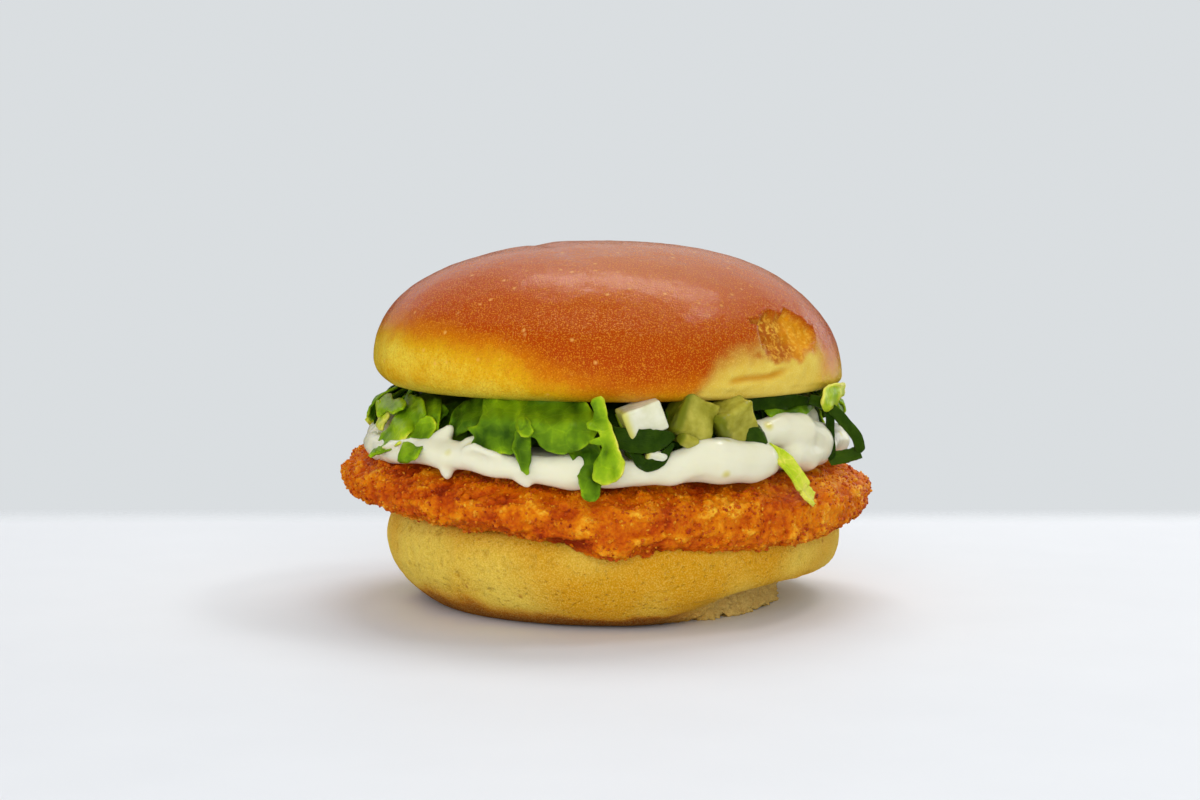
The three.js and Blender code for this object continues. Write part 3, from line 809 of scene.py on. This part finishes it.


# ------------------------------------------------------------------------------------------------
# Lettuce: pieces torn from crisp green leaves, crumpled and thin, caught under the crown by their
# upper edges and hanging out over the sauce. Torn edges are frilled, with a thin pale rim that is
# partly the leaf's paler margin and partly painted light shining through the edge. Their tones are
# also painted lighter and darker over the folds, as light and shade. Each piece has its outline in mm
# across and up, its reach at the top and at the bottom, its tone, and its tuck.
LEAF_THICKNESS = 0.42 * MM
CROWN_FOOT = 47.6
FRONT_LETTUCE = (
    # left end: a thin curled edge, a long pale piece and two that fork over the sauce
    (((-50.4, 44.1), (-47.8, 45.9), (-46.2, 45.0), (-44.2, 45.9), (-42.0, 45.6), (-43.6, 43.9),
      (-45.6, 42.9), (-47.6, 43.1), (-49.3, 41.1), (-50.6, 42.4)), (49, 50.9), 0.66, 3),
    (((-50.2, 41.6), (-48.2, 43.4), (-46.6, 42.6), (-47.2, 40.8), (-48.6, 38.6), (-49.9, 38.9)),
     (49.2, 50.6), 0.78, 2),
    (((-43.0, 46.6), (-38.7, 46.4), (-37.5, 43.9), (-39.3, 41.5), (-42.4, 38.2), (-46.2, 36.0), (-50.9, 33.5),
      (-48.6, 37.0), (-46.2, 40.6), (-44.2, 43.4)), (48, 55.8), 0.62, 5),
    (((-40.4, 41.4), (-36.6, 43.8), (-35.1, 41.8), (-36.3, 40.0), (-37.2, 38.9), (-38.6, 36.6), (-39.9, 34.4),
      (-43.2, 34.0), (-43.1, 36.0), (-41.4, 38.6)), (49.5, 55.8), 0.6, 3),
    (((-39.4, 45.4), (-35.0, 47.2), (-34.4, 43.6), (-35.2, 40.2), (-37.4, 40.4), (-38.2, 42.6)),
     (47, 49.6), 0.44, 5),
    # front left: a curved piece painted dark as the shade inside its curl, with a bright top edge, a broad
    # ragged one and a narrow curl
    (((-32.6, 43.0), (-30.9, 45.7), (-27.6, 47.3), (-23.6, 47.8), (-23.8, 45.3), (-25.3, 43.0),
      (-27.6, 41.7), (-29.6, 40.6), (-31.3, 39.3)), (46.5, 48), 0.36, 6),
    (((-25.2, 47.9), (-14.8, 47.9), (-15.6, 44.9), (-17.2, 41.3), (-17.8, 37.6), (-20.9, 37.2),
      (-23.5, 36.8), (-25.0, 37.8), (-27.2, 36.4), (-28.6, 37.0), (-27.8, 38.9), (-26.9, 40.4),
      (-28.6, 42.1), (-25.9, 42.9), (-25.3, 45.2)), (50.4, 52.2), 0.5, 6),
    (((-18.0, 42.9), (-15.0, 41.9), (-15.2, 38.5), (-15.1, 35.5), (-15.9, 32.9), (-17.1, 34.6),
      (-17.8, 36.8), (-18.9, 39.2)), (52, 54.6), 0.5, 3),
    # middle: the largest piece, its hanging tongue and the bright curled one in front of it
    (((-15.8, 48.4), (-4.6, 48.2), (-1.5, 44.8), (-1.9, 41.2), (-4.4, 38.9), (-7.7, 37.9),
      (-9.9, 37.7), (-12.2, 38.9), (-14.1, 40.7), (-15.7, 41.3), (-17.8, 41.6), (-17.9, 44.2),
      (-16.5, 46.6)), (51.8, 53.6), 0.5, 6),
    (((-8.6, 40.4), (-1.6, 41.8), (-0.8, 37.4), (-0.4, 32.5), (-1.6, 28.9), (-3.5, 28.4),
      (-5.0, 30.6), (-5.8, 34.0), (-6.9, 36.8)), (51.6, 57), 0.46, 6),
    (((-17.9, 45.0), (-15.4, 44.6), (-14.6, 42.6), (-15.5, 41.2), (-17.6, 41.5)), (53, 54), 0.66, 5),
    (((-3.0, 48.6), (-0.4, 49.3), (0.5, 45.5), (1.9, 41.2), (4.2, 35.8), (2.8, 32.9), (-0.2, 31.9),
      (-2.7, 33.3), (-2.1, 36.9), (-0.2, 39.6), (-4.0, 40.3), (-0.6, 42.2), (-4.4, 43.6),
      (-2.0, 45.8)), (53.4, 57), 0.68, 1.5),
    # right end: a pale yellow tip that lifts past the crown, and a piece behind it under the crown, painted
    # darker as the shade there
    (((45.2, 46.0), (47.4, 49.4), (50.0, 48.9), (52.9, 48.8), (53.0, 45.6), (51.2, 46.0),
      (49.9, 44.2), (47.2, 43.6)), (53, 53.4), 0.92, 0),
    (((33.0, 47.4), (44.0, 47.0), (46.6, 44.6), (43.0, 42.8), (37.4, 43.6), (33.8, 43.0)),
     (47.6, 48.6), 0.34, 3),
)


def edge_distance(spots, outline):
    """Distance of each spot from a closed outline, negative outside it."""
    after = np.roll(outline, -1, axis=0)
    run = after - outline
    offset = spots[:, None] - outline
    share = np.clip((offset * run).sum(axis=2) / np.maximum((run**2).sum(axis=1), 1e-9), 0, 1)
    near = np.linalg.norm(offset - share[..., None] * run, axis=2).min(axis=1)
    up = spots[:, None, 1]
    crossed = (outline[:, 1] > up) != (after[:, 1] > up)
    steep = np.where(run[:, 1] == 0, 1e-9, run[:, 1])
    passed = spots[:, None, 0] < outline[:, 0] + (up - outline[:, 1]) * run[:, 0] / steep
    return np.where((crossed & passed).sum(axis=1) % 2 == 1, near, -near)


def torn_leaf(outline, reach, tone, tuck, seed, turn=270, cell=0.55):
    """One piece of leaf as points, faces and (tone, along, across) marks. The outline is seen from
    outside at the turn it hangs at, and the top leans in under the crown by the tuck."""
    sharp = np.array(outline, float)
    after = np.roll(sharp, -1, axis=0)
    cut = np.stack([0.8 * sharp + 0.2 * after, 0.2 * sharp + 0.8 * after], axis=1).reshape(-1, 2)
    edge = []
    for start, end in zip(cut, np.roll(cut, -1, axis=0)):
        steps = max(1, round(np.linalg.norm(end - start) / cell))
        edge += [start + (end - start) * i / steps for i in range(steps)]
    edge = np.array(edge)
    lifted = np.column_stack([edge, np.full(len(edge), seed * 1.7)])
    edge = edge + 0.45 * np.column_stack([bumps(lifted, 1.7, 61), bumps(lifted, 1.7, 62)])
    low, high = edge.min(axis=0), edge.max(axis=0)
    grid = np.stack(np.meshgrid(np.arange(low[0], high[0], cell), np.arange(low[1], high[1], cell)), axis=-1)
    grid[::2, :, 0] += cell / 2
    grid = grid.reshape(-1, 2)
    grid = grid[edge_distance(grid, edge) > 0.5 * cell]
    links = [(i, (i + 1) % len(edge)) for i in range(len(edge))]
    spots = [Vector(spot) for spot in np.vstack([edge, grid])]
    spots, _, faces, *_ = geometry.delaunay_2d_cdt(spots, links, [], 1, 1e-5)
    spots = np.array([spot[:] for spot in spots])
    inward = np.abs(edge_distance(spots, edge))
    lifted = np.column_stack([spots, np.full(len(spots), seed * 2.3)])
    fold = bumps(lifted, 4.2, 63)
    pleats = bumps(lifted * (1, 0.4, 1), 1.7, 67)
    crumple = 1.3 * fold + 0.45 * pleats + 0.45 * bumps(lifted, 1.6, 64)
    crumple = crumple + 1.1 * bumps(lifted, 2.2, 65) * np.exp(-inward / 1.2)
    across, up = spots.T
    fallen = smooth(0, 1, (high[1] - up) / (high[1] - low[1]))
    tucked = tuck * smooth(CROWN_FOOT - 4.5, CROWN_FOOT + 0.3, up)
    out = reach[0] + (reach[1] - reach[0]) * fallen + crumple - tucked
    out = np.maximum(out, np.abs(across) * 1.003)
    angle = math.radians(turn) + np.arcsin(across / out)
    places = MM * np.column_stack([out * np.cos(angle), out * np.sin(angle), up + 0.2 * crumple])
    # Painted light: a thin bright rim along each torn edge, partly the leaf's paler margin and partly light
    # shining through it.
    worn = np.clip(0.5 + 1.2 * bumps(lifted, 4, 68), 0, 1)
    shades = tone - 0.05 + 0.26 * worn * np.exp(-inward / 0.35)
    # Painted light and shade: lighter over the folds and darker between them, with some random tone.
    shades = shades + 0.22 * fold + 0.1 * pleats + 0.25 * bumps(lifted, 6, 66)
    return places.tolist(), [tuple(face) for face in faces], [(shade, 0, 0) for shade in shades]


def smooth_path(nodes, steps):
    """Points along a curve through the nodes."""
    nodes = [Vector(node) for node in nodes]
    ends = [2 * nodes[0] - nodes[1], *nodes, 2 * nodes[-1] - nodes[-2]]
    path = []
    for i in range(steps):
        place = i / (steps - 1) * (len(nodes) - 1)
        k = min(int(place), len(nodes) - 2)
        t = place - k
        a, b, c, d = ends[k : k + 4]
        bend, twist = 2 * a - 5 * b + 4 * c - d, 3 * b - a - 3 * c + d
        path.append(0.5 * (2 * b + (c - a) * t + bend * t**2 + twist * t**3))
    return path


def strip(nodes, wide, tone, seed, taper=0.35, start=0.25, twist=(0, 0), facing=None, cup=0.2,
          ruffle=0.5, steps=34, strips=14):
    """A long strip as points, faces and (tone, along, across) marks. It lies across the path through
    its (turn, reach, height) nodes, facing out or towards a turn, and may be twisted about it."""
    path = smooth_path([around_burger(*node) for node in nodes], steps)
    length = sum((b - a).length for a, b in zip(path, path[1:]))
    points, faces, marks = [], [], []
    for i, middle in enumerate(path):
        share = i / (steps - 1)
        along = (path[min(i + 1, steps - 1)] - path[max(i - 1, 0)]).normalized()
        out = Vector((middle.x, middle.y, 0.25 * middle.length)).normalized()
        if facing is not None:
            out = around_burger(facing, 1, 0.2).normalized()
        side = along.cross(out).normalized()
        turned = Matrix.Rotation(math.radians(twist[0] + (twist[1] - twist[0]) * share), 3, along)
        side = turned @ side
        face = side.cross(along).normalized()
        tip = min(1, (1 - share) / taper + 0.04) ** 0.6
        root = start + (1 - start) * min(1, share / 0.4)
        for j in range(strips + 1):
            across = 2 * j / strips - 1
            scallop = 1 + 0.16 * noise.noise(Vector((share * 5, seed * 3.7 + (across > 0) * 9, 0)))
            scallop += 0.07 * noise.noise(Vector((share * 17, seed * 1.3 + (across > 0) * 4, 3)))
            half = wide * MM * tip * root * scallop
            frill = abs(across) ** 2.2 * math.sin(share * length / (2.1 * MM) + seed + (across > 0) * 2.1)
            crumple = 0.5 * noise.noise(Vector((share * length / (4 * MM), across * wide / 4, seed * 2.3)))
            lift = cup * half * across * across + MM * ruffle * (frill + crumple)
            points.append(middle + side * (half * across) + face * lift)
            marks.append((tone, share * length / (10 * MM), across))
            if i and j:
                last = len(points) - 1
                faces.append((last - strips - 2, last - 1, last, last - strips - 1))
    return points, faces, marks


def sheet_piece(name, sheets, thickness, finish):
    """Joins leaves or strips into one piece of thin closed sheets."""
    points, faces, marks = [], [], []
    for some_points, some_faces, some_marks in sheets:
        first = len(points)
        points += some_points
        marks += some_marks
        faces += [tuple(first + corner for corner in face) for face in some_faces]
    piece = new_piece(name, points, faces)
    for layer, values in zip(("tone", "along", "across"), zip(*marks)):
        paint(piece, layer, values)
    settled(piece, ("SOLIDIFY", {"thickness": thickness, "offset": 0}))
    piece.data.materials.append(finish)
    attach(piece, "root")
    return piece


sheets = [torn_leaf(*leaf, seed) for seed, leaf in enumerate(FRONT_LETTUCE)]
sheet_piece("front_lettuce", sheets, LEAF_THICKNESS, lettuce)

chance = np.random.default_rng(17)


def random_outline(wide, tall, top):
    """The outline of a torn piece that hangs from a height, narrower at its lower end."""
    outline = []
    for k in range(15):
        around = math.tau * k / 15
        far = chance.uniform(0.68, 1.15)
        across = wide * math.sin(around) * far * (0.82 + 0.25 * math.cos(around))
        outline.append((across, min(top, top - tall / 2 + tall / 2 * math.cos(around) * far)))
    return outline


# Pieces round the core, under the crown, get dark tones painted as the shade there.
sheets = []
for k in range(60):
    tall = chance.uniform(5, 11)
    outline = random_outline(chance.uniform(2.5, 7), tall, chance.uniform(43.8, 47.4))
    reach = chance.uniform(42.5, 45)
    turn = k * 6 + chance.uniform(-4, 4)
    sheets.append(torn_leaf(outline, (reach, reach + 2.5), chance.uniform(0.05, 0.4), 2, k + 20, turn, 0.9))
sheet_piece("inner_lettuce", sheets, LEAF_THICKNESS, lettuce)

sheets = []
turn = 352
while turn < 532:
    wide = chance.uniform(3, 9)
    tall = chance.uniform(5, 14)
    reach = chance.uniform(49.5, 52)
    tone = chance.choice((0.44, 0.5, 0.56, 0.68, 0.36))
    outline = random_outline(wide, tall, 47.6)
    sheets.append(torn_leaf(outline, (reach, reach + 0.25 * tall), tone, 5, turn, turn, 0.7))
    turn += wide * chance.uniform(0.7, 1.7)
sheet_piece("side_lettuce", sheets, LEAF_THICKNESS, lettuce)


# ------------------------------------------------------------------------------------------------
# Green onion: dark waxy strips cut along the leaf, folded over themselves, and one loop that stands
# out on the right. Pale shreds of lettuce rib hang with them.
ONION_THICKNESS = 0.5 * MM
RIB_THICKNESS = 0.9 * MM
LOOP_FACING = 290
onion = leaf_material("green_onion", [
    (0.0, (0.005, 0.014, 0.001)),
    (0.35, (0.016, 0.042, 0.002)),
    (0.7, (0.06, 0.12, 0.005)),
    (1.0, (0.22, 0.32, 0.03)),
], 0.26, streaked=True)
onion_strips = [
    # folded strips in the middle, beside the cucumber
    strip(((270, 49.6, 42), (275, 51.2, 40.6), (280.5, 51.8, 40.2), (286, 50.8, 41.2)), 2.6, 0.4, 71,
          start=0.6, twist=(20, -10), ruffle=0.2),
    strip(((276, 51.8, 38.6), (278.5, 52.8, 35.6), (282, 52.8, 36.4), (285.5, 51.6, 39.6)), 1.2, 0.36, 72,
          start=0.8, ruffle=0.15),
    # strips right of the pickle and under the crown
    strip(((299, 44.5, 46), (303, 47.5, 44.6), (307, 50.6, 41.6), (309.5, 52.4, 38.6)), 2.3, 0.42, 73,
          start=0.8, taper=0.15, cup=-0.5, ruffle=0.15),
    # Painted shade: a wide, very dark strip set in the hollow under the crown.
    strip(((294, 44, 43.5), (300, 46.5, 42.8), (306, 47.6, 41.2)), 2.8, 0.2, 74, start=0.8, ruffle=0.2),
    strip(((305, 45, 46.2), (315, 46.8, 46.4), (326, 47.8, 46.2), (338, 48.4, 45.4)), 1.6, 0.34, 75,
          start=0.8, twist=(10, 30), ruffle=0.35),
    # the open loop at the right end: down its outer side, back along its foot, and its inner side
    strip(((334.5, 48.5, 46), (337.2, 51.6, 44.6), (338.5, 54.7, 41.7), (339.7, 57.7, 37.6),
           (340, 58.5, 34.4)), 1.25, 0.45, 76, start=0.9, taper=0.05, facing=LOOP_FACING, ruffle=0.12),
    strip(((340, 58.5, 34.6), (338.9, 55.4, 33.6), (337.7, 52, 32.9)), 1.4, 0.5, 77,
          start=0.95, taper=0.05, facing=LOOP_FACING, ruffle=0.1),
    strip(((337, 51.2, 46), (337.2, 52.4, 42), (337.5, 52.4, 37.6), (337.7, 52.6, 32.8)), 1.0, 0.3, 78,
          start=0.9, taper=0.05, facing=LOOP_FACING, ruffle=0.12),
]
for k in range(9):
    turn = 8 + k * 19 + chance.uniform(-5, 5)
    low = chance.uniform(36, 40)
    bend = (turn + chance.uniform(3, 12), 52.4, low + 2)
    nodes = ((turn, 46, 45.4), (turn + 3, 50.4, 44), bend, (turn + 14, 52, low))
    wide = chance.uniform(1.2, 2.2)
    onion_strips.append(strip(nodes, wide, 0.38, 80 + k, start=0.8, taper=0.1, cup=0.4, ruffle=0.15))
sheet_piece("green_onion_strips", onion_strips, ONION_THICKNESS, onion)

shreds = [
    strip(((311, 50, 37.4), (313.5, 53, 35.2), (315.5, 55.4, 31.6), (316.6, 56.8, 28.4)), 1.9, 0.9, 91,
          start=0.8, taper=0.1, cup=0.35, ruffle=0.25),
    strip(((316, 56.6, 29), (317.6, 57, 27.6), (319.4, 56.8, 26.4)), 1.6, 0.98, 92,
          start=0.9, taper=0.1, cup=0.4, ruffle=0.3),
]
for k in range(7):
    turn = chance.uniform(5, 160)
    low = chance.uniform(28, 38)
    bend = (turn + chance.uniform(-5, 8), 56, 0.5 * (low + 36))
    nodes = ((turn, 48, 43), (turn + 3, 53, 38), bend, (turn + 4, 57, low))
    wide = chance.uniform(1, 1.8)
    shreds.append(strip(nodes, wide, 0.92, 94 + k, start=0.8, taper=0.15, cup=0.35, ruffle=0.3))
sheet_piece("pale_shreds", shreds, RIB_THICKNESS, lettuce)


# ------------------------------------------------------------------------------------------------
# Dice: one crisp cube of cucumber whose left face is painted yellow-green, as the shaded side with
# light coming through the flesh, two of pickled cucumber, glassy and wet and darker on that face,
# and two smaller chips of the same among the onion strips.
DIE_CELLS = 22
DICE_FORWARD = Vector((0.4, -1.6, 0.6)) * MM


def die(name, middle, sides, tilt, corner, rough):
    """A cube of vegetable with its corners rounded and its cut faces a little uneven. The sides and
    the corner are in millimetres, and the tilt is in radians about X, then Y, then Z."""
    shape = bmesh.new()
    bmesh.ops.create_cube(shape, size=2)
    bmesh.ops.subdivide_edges(shape, edges=shape.edges, cuts=DIE_CELLS, use_grid_fill=True)
    piece = new_piece(name, [], [])
    shape.to_mesh(piece.data)
    shape.free()
    piece.data.shade_smooth()
    half = np.array(sides) / 2 * MM
    points = places_of(piece) * half
    inner = np.clip(points, -half + corner * MM, half - corner * MM)
    away = points - inner
    points = inner + away / np.maximum(np.linalg.norm(away, axis=1), 1e-9)[:, None] * corner * MM
    # Mask for the left face, which the flesh paints another colour.
    paint(piece, "rind", smooth(0.55, 0.95, -points[:, 0] / half[0]))
    across, back, up = (Matrix.Rotation(lean, 3, axis) for lean, axis in zip(tilt, "XYZ"))
    put(piece, points @ np.array(up @ back @ across).T + np.array(middle))
    points = places_of(piece)
    push(piece, MM * rough * (bumps(points, 4.5 * MM, sides[0]) + 0.15 * bumps(points, 1.1 * MM, sides[1])))
    return piece


def flesh(name, light, dark, rind, see_through):
    """Wet vegetable flesh, streaked light and dark, with another colour on the left face: on the cucumber
    that is painted shade lit through the flesh.
    """
    made, shader = new_material(name, Roughness=0.2, Subsurface_Weight=see_through, Subsurface_Scale=0.003)
    shader.inputs["Subsurface Radius"].default_value = (1.0, 0.9, 0.4)
    tree = made.node_tree
    place = object_place(tree)
    fibre = noise_at(tree, place, 700, 4, 0.65)
    streak = stretched(tree, noise_at(tree, place, 260, 3, 0.6), 2.2, -0.6)
    color = mix(tree, streak, dark, light)
    color = mix(tree, attribute(tree, "rind"), color, rind)
    color = blend(tree, fleck_mask(tree, place, 520, 0.4, 0.3), 0.6, color, light)
    tree.links.new(color, shader.inputs["Base Color"])
    bump_into(tree, shader, fibre, 0.3 * MM, 0.5)
    return made


def middle_of(node):
    low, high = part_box(node)
    return (low + high) / 2


# The cucumber's yellow-green left face is painted shade with light coming through the flesh; the pickles are
# only darker on that face.
cucumber = flesh("cucumber_flesh", (0.82, 0.81, 0.64), (0.66, 0.66, 0.40), (0.66, 0.62, 0.14), 0.3)
pickle = flesh("pickle_flesh", (0.53, 0.48, 0.08), (0.24, 0.23, 0.01), (0.15, 0.17, 0.008), 0.6)
CUBES = (
    ("cucumber_cube", "cucumber_dice", (8.3, 7, 6.2), (0.1, -0.36, 0.2), 0.5, 0.18, cucumber, "cucumber"),
    ("pickle_cube_left", "pickle_dice_left", (8.2, 7.5, 8.6), (-0.25, 0.42, 0.4), 0.45, 1, pickle, "pickle"),
    ("pickle_cube_right", "pickle_dice_right", (8.4, 7, 7.6), (0.3, -0.5, 0.5), 0.45, 1, pickle, "pickle"),
)
CHIPS = (
    ("cucumber_chip", (281.5, 52, 37), (4.4, 2.2, 2.4), (0.2, 0.3, 0.2), cucumber, "cucumber"),
    ("pickle_chip", (289, 51.2, 40), (4.2, 3.0, 2.8), (0.4, 0.4, 0.5), pickle, "pickle"),
)
for name, node, sides, tilt, corner, rough, finish, slot in CUBES:
    cube = die(name, middle_of(node) + DICE_FORWARD, sides, tilt, corner, rough)
    cube.data.materials.append(finish)
    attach(cube, "root")
    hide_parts(node)
for name, place, sides, tilt, finish, slot in CHIPS:
    chip = die(name, around_burger(*place), sides, tilt, 0.8, 0.4)
    chip.data.materials.append(finish)
    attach(chip, "root")


# ------------------------------------------------------------------------------------------------
# Bun crown: the domed upper half, brushed with egg and baked to a red-brown glaze that fades to
# yellow at the lower edge. A pale patch shows where a neighbour was pulled off, and crust is torn.
CROWN_LOW, CROWN_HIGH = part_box("bun_crown")
CROWN_WIDTH = 104 * MM
CROWN_DEPTH = 100 * MM
CROWN_RIM = 52 * MM
CROWN_RIM_TILT = -2 * MM
CROWN_EDGE = 5.3 * MM
CROWN_EDGE_CHANGE = -2.7 * MM
CROWN_SQUARENESS = 2.2
# shares of the way from the middle of the cut face to the top
UNDER_SHARE = 0.1
EDGE_SHARE = 0.3
TEAR_TURN = 323.5
TEAR_HEIGHT = 60.6
TEAR_HALF = (12.0, 4.7)
TEAR_DEPTH = 1.8


def crown_place(angle, share):
    """A flat cut face, a rounded edge that is tighter on the right, and a full dome."""
    right = np.cos(angle)
    swell = 1 + 0.008 * np.sin(3 * angle + 0.6) + 0.006 * np.sin(5 * angle + 2)
    rim = np.hypot(CROWN_WIDTH / 2 * right, CROWN_DEPTH / 2 * np.sin(angle)) * swell
    rim_height = CROWN_RIM + CROWN_RIM_TILT * right
    edge = CROWN_EDGE + CROWN_EDGE_CHANGE * right
    rounded = np.clip((share - UNDER_SHARE) / (EDGE_SHARE - UNDER_SHARE), 0, 1) * math.pi / 2
    risen = np.clip((share - EDGE_SHARE) / (1 - EDGE_SHARE), 0, 1) * math.pi / 2
    flat = (rim - edge) * share / UNDER_SHARE
    dome = np.maximum(0, np.cos(risen)) ** (2 / CROWN_SQUARENESS)
    radius = np.where(share < UNDER_SHARE, flat, (rim - edge * (1 - np.sin(rounded))) * dome)
    low = CROWN_LOW.z + (rim_height - CROWN_LOW.z) * (1 - np.cos(rounded))
    height = low + (CROWN_HIGH.z - rim_height) * np.sin(risen) ** (2 / CROWN_SQUARENESS)
    return radius * right, radius * np.sin(angle), height


crown = ring_piece("brioche_crown", 440, 190, crown_place)
points = places_of(crown)
turns = np.arctan2(points[:, 1], points[:, 0])
turned = np.degrees(turns) % 360
height = points[:, 2] / MM
outside = smooth(0, 1.5, height - CROWN_LOW.z / MM)
ragged = 0.3 * bumps(points, 4 * MM, 21) + 0.16 * bumps(points, 1.4 * MM, 22)
round_tear = np.radians(turned - TEAR_TURN) * CROWN_WIDTH / 2 / MM
above_tear = height - TEAR_HEIGHT
away = np.hypot(round_tear / TEAR_HALF[0], above_tear / TEAR_HALF[1]) + ragged
open_below = 1 - smooth(-4.5, -1.5, above_tear)
torn = 1 - smooth(0.86, 1.0 + 0.35 * open_below, away)
lip = np.exp(-(((away - 1.04) / 0.07) ** 2)) * smooth(-1, 1.5, above_tear)
patch_top = np.interp(turned, (288, 292, 297, 304, 312), (46, 50, 54.5, 57, 59))
frayed_top = height - patch_top + 1.6 * bumps(points, 6 * MM, 23) + 0.8 * bumps(points, 1.6 * MM, 34)
patch = 1 - smooth(-4.2, 3.4, frayed_top)
patch = patch * smooth(287, 295, turned) * (1 - smooth(331, 341, turned + 4 * bumps(points, 7 * MM, 31)))
crease_height = 51 + 0.1 * (turned - 298) + 0.3 * np.sin(np.radians(turned - 300) * 20)
crease = np.exp(-(((height - crease_height) / 0.7) ** 2))
crease = crease * smooth(299, 304, turned) * (1 - smooth(316, 323, turned))
crumb = 0.7 * bumps(points * (1, 1, 0.6), 2.6 * MM, 24) + 0.6 * granules(points, 1.5 * MM, 25)
broad = 0.42 * bumps(points, 24 * MM, 26) + 0.14 * bumps(points, 8 * MM, 27)
across_fold = points[:, 0] / MM + 13.5 + 0.3 * points[:, 1] / MM
top_fold = np.exp(-((across_fold / 3) ** 2)) * smooth(74, 78, height)
skin = broad - 0.45 * top_fold + 0.07 * bumps(points, 2.4 * MM, 28)
pulled = 0.6 * patch + 0.7 * crease - 0.25 * patch * bumps(points, 2 * MM, 32)
shape = (skin - pulled) * (1 - torn) + torn * (crumb - TEAR_DEPTH) * (1 - 0.6 * open_below) + 0.25 * lip
push(crown, MM * outside * shape)

shade = height - 8.5 * rim_bump(turns, 205, 50) * smooth(49, 58, height) + 4.6 * rim_bump(turns, 280, 26)
shade = shade + 1.5 * bumps(points, 16 * MM, 29) + 0.9 * bumps(points, 5 * MM, 30)
baked_heights = (48, 50.5, 53, 57, 62, 68, 74, 80)
paint(crown, "baked", np.interp(shade, baked_heights, (0, 0.1, 0.24, 0.48, 0.64, 0.76, 0.88, 1)))
paint(crown, "patch", np.maximum(patch - torn, 0))
paint(crown, "torn", torn)
paint(crown, "crease", crease * patch * (1 - torn))
# Inside the tear the left part is painted darker brown as shade in the scoop, and the right part golden
# crumb.
paint(crown, "gold", smooth(-6, 4, round_tear + 5 * bumps(points, 4 * MM, 33)))

crust, shader = new_material("glazed_crust", Coat_Roughness=0.12, Specular_IOR_Level=0.22)
shader.inputs["Specular Tint"].default_value = (1.0, 0.62, 0.36, 1)
tree = crust.node_tree
place = object_place(tree)
fine = noise_at(tree, place, 1500, 3, 0.7)
mid = noise_at(tree, place, 260, 4, 0.6)
tone = number(tree, "MULTIPLY_ADD", mid, 0.22, number(tree, "MULTIPLY_ADD", fine, 0.22, -0.22))
color = ramp(tree, number(tree, "ADD", attribute(tree, "baked"), tone), [
    (0.0, (0.88, 0.68, 0.06)),
    (0.14, (0.74, 0.40, 0.005)),
    (0.32, (0.60, 0.16, 0.001)),
    (0.52, (0.44, 0.048, 0.0008)),
    (0.74, (0.42, 0.055, 0.002)),
    (1.0, (0.46, 0.10, 0.018)),
])
grain = stretched(tree, noise_at(tree, place, 3300, 2, 0.6), 7, -3.5)
color = blend(tree, grain, 0.5, color, (0.90, 0.40, 0.02))
dark_grain = stretched(tree, noise_at(tree, place, 2800, 2, 0.7), -6, 2.8)
color = blend(tree, dark_grain, 0.35, color, (0.30, 0.03, 0.0006))
color = blend(tree, fleck_mask(tree, place, 420, 0.24, 0.16), 0.8, color, (0.90, 0.48, 0.10))
pale = mix(tree, mid, (0.70, 0.43, 0.02), (0.84, 0.66, 0.13))
pale = blend(tree, grain, 0.35, pale, (0.94, 0.80, 0.24))
color = mix(tree, attribute(tree, "patch"), color, pale)
color = blend(tree, attribute(tree, "crease"), 0.75, color, (0.60, 0.24, 0.003))
# Painted shade: the tear's inside is darker brown on the left and golden on the right, by the gold layer.
inside = mix(tree, attribute(tree, "gold"), (0.42, 0.10, 0.002), (0.74, 0.29, 0.006))
frayed = stretched(tree, noise_at(tree, place, 800, 4, 0.75), 5, -2.4, 0.75)
inside = mix(tree, frayed, inside, (0.95, 0.55, 0.06))
color = mix(tree, attribute(tree, "torn"), color, inside)
tree.links.new(color, shader.inputs["Base Color"])
bare = number(tree, "MAXIMUM", attribute(tree, "torn"), attribute(tree, "patch"))
glazed = number(tree, "MULTIPLY_ADD", mid, 0.26, 0.07)
rough = number(tree, "MAXIMUM", glazed, number(tree, "MULTIPLY", bare, 0.8))
tree.links.new(rough, shader.inputs["Roughness"])
tree.links.new(number(tree, "MULTIPLY_ADD", bare, -0.14, 0.14), shader.inputs["Coat Weight"])
relief = number(tree, "MULTIPLY_ADD", mid, 2.5, number(tree, "ADD", fine, grain))
bump_into(tree, shader, relief, 0.26 * MM, 0.5)
sparkle = add_node(tree, "ShaderNodeBump", {"Height": fine, "Distance": 0.1 * MM, "Strength": 0.35})
tree.links.new(sparkle.outputs["Normal"], shader.inputs["Coat Normal"])
crown.data.materials.append(crust)
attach(crown, "root")
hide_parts("bun_crown")
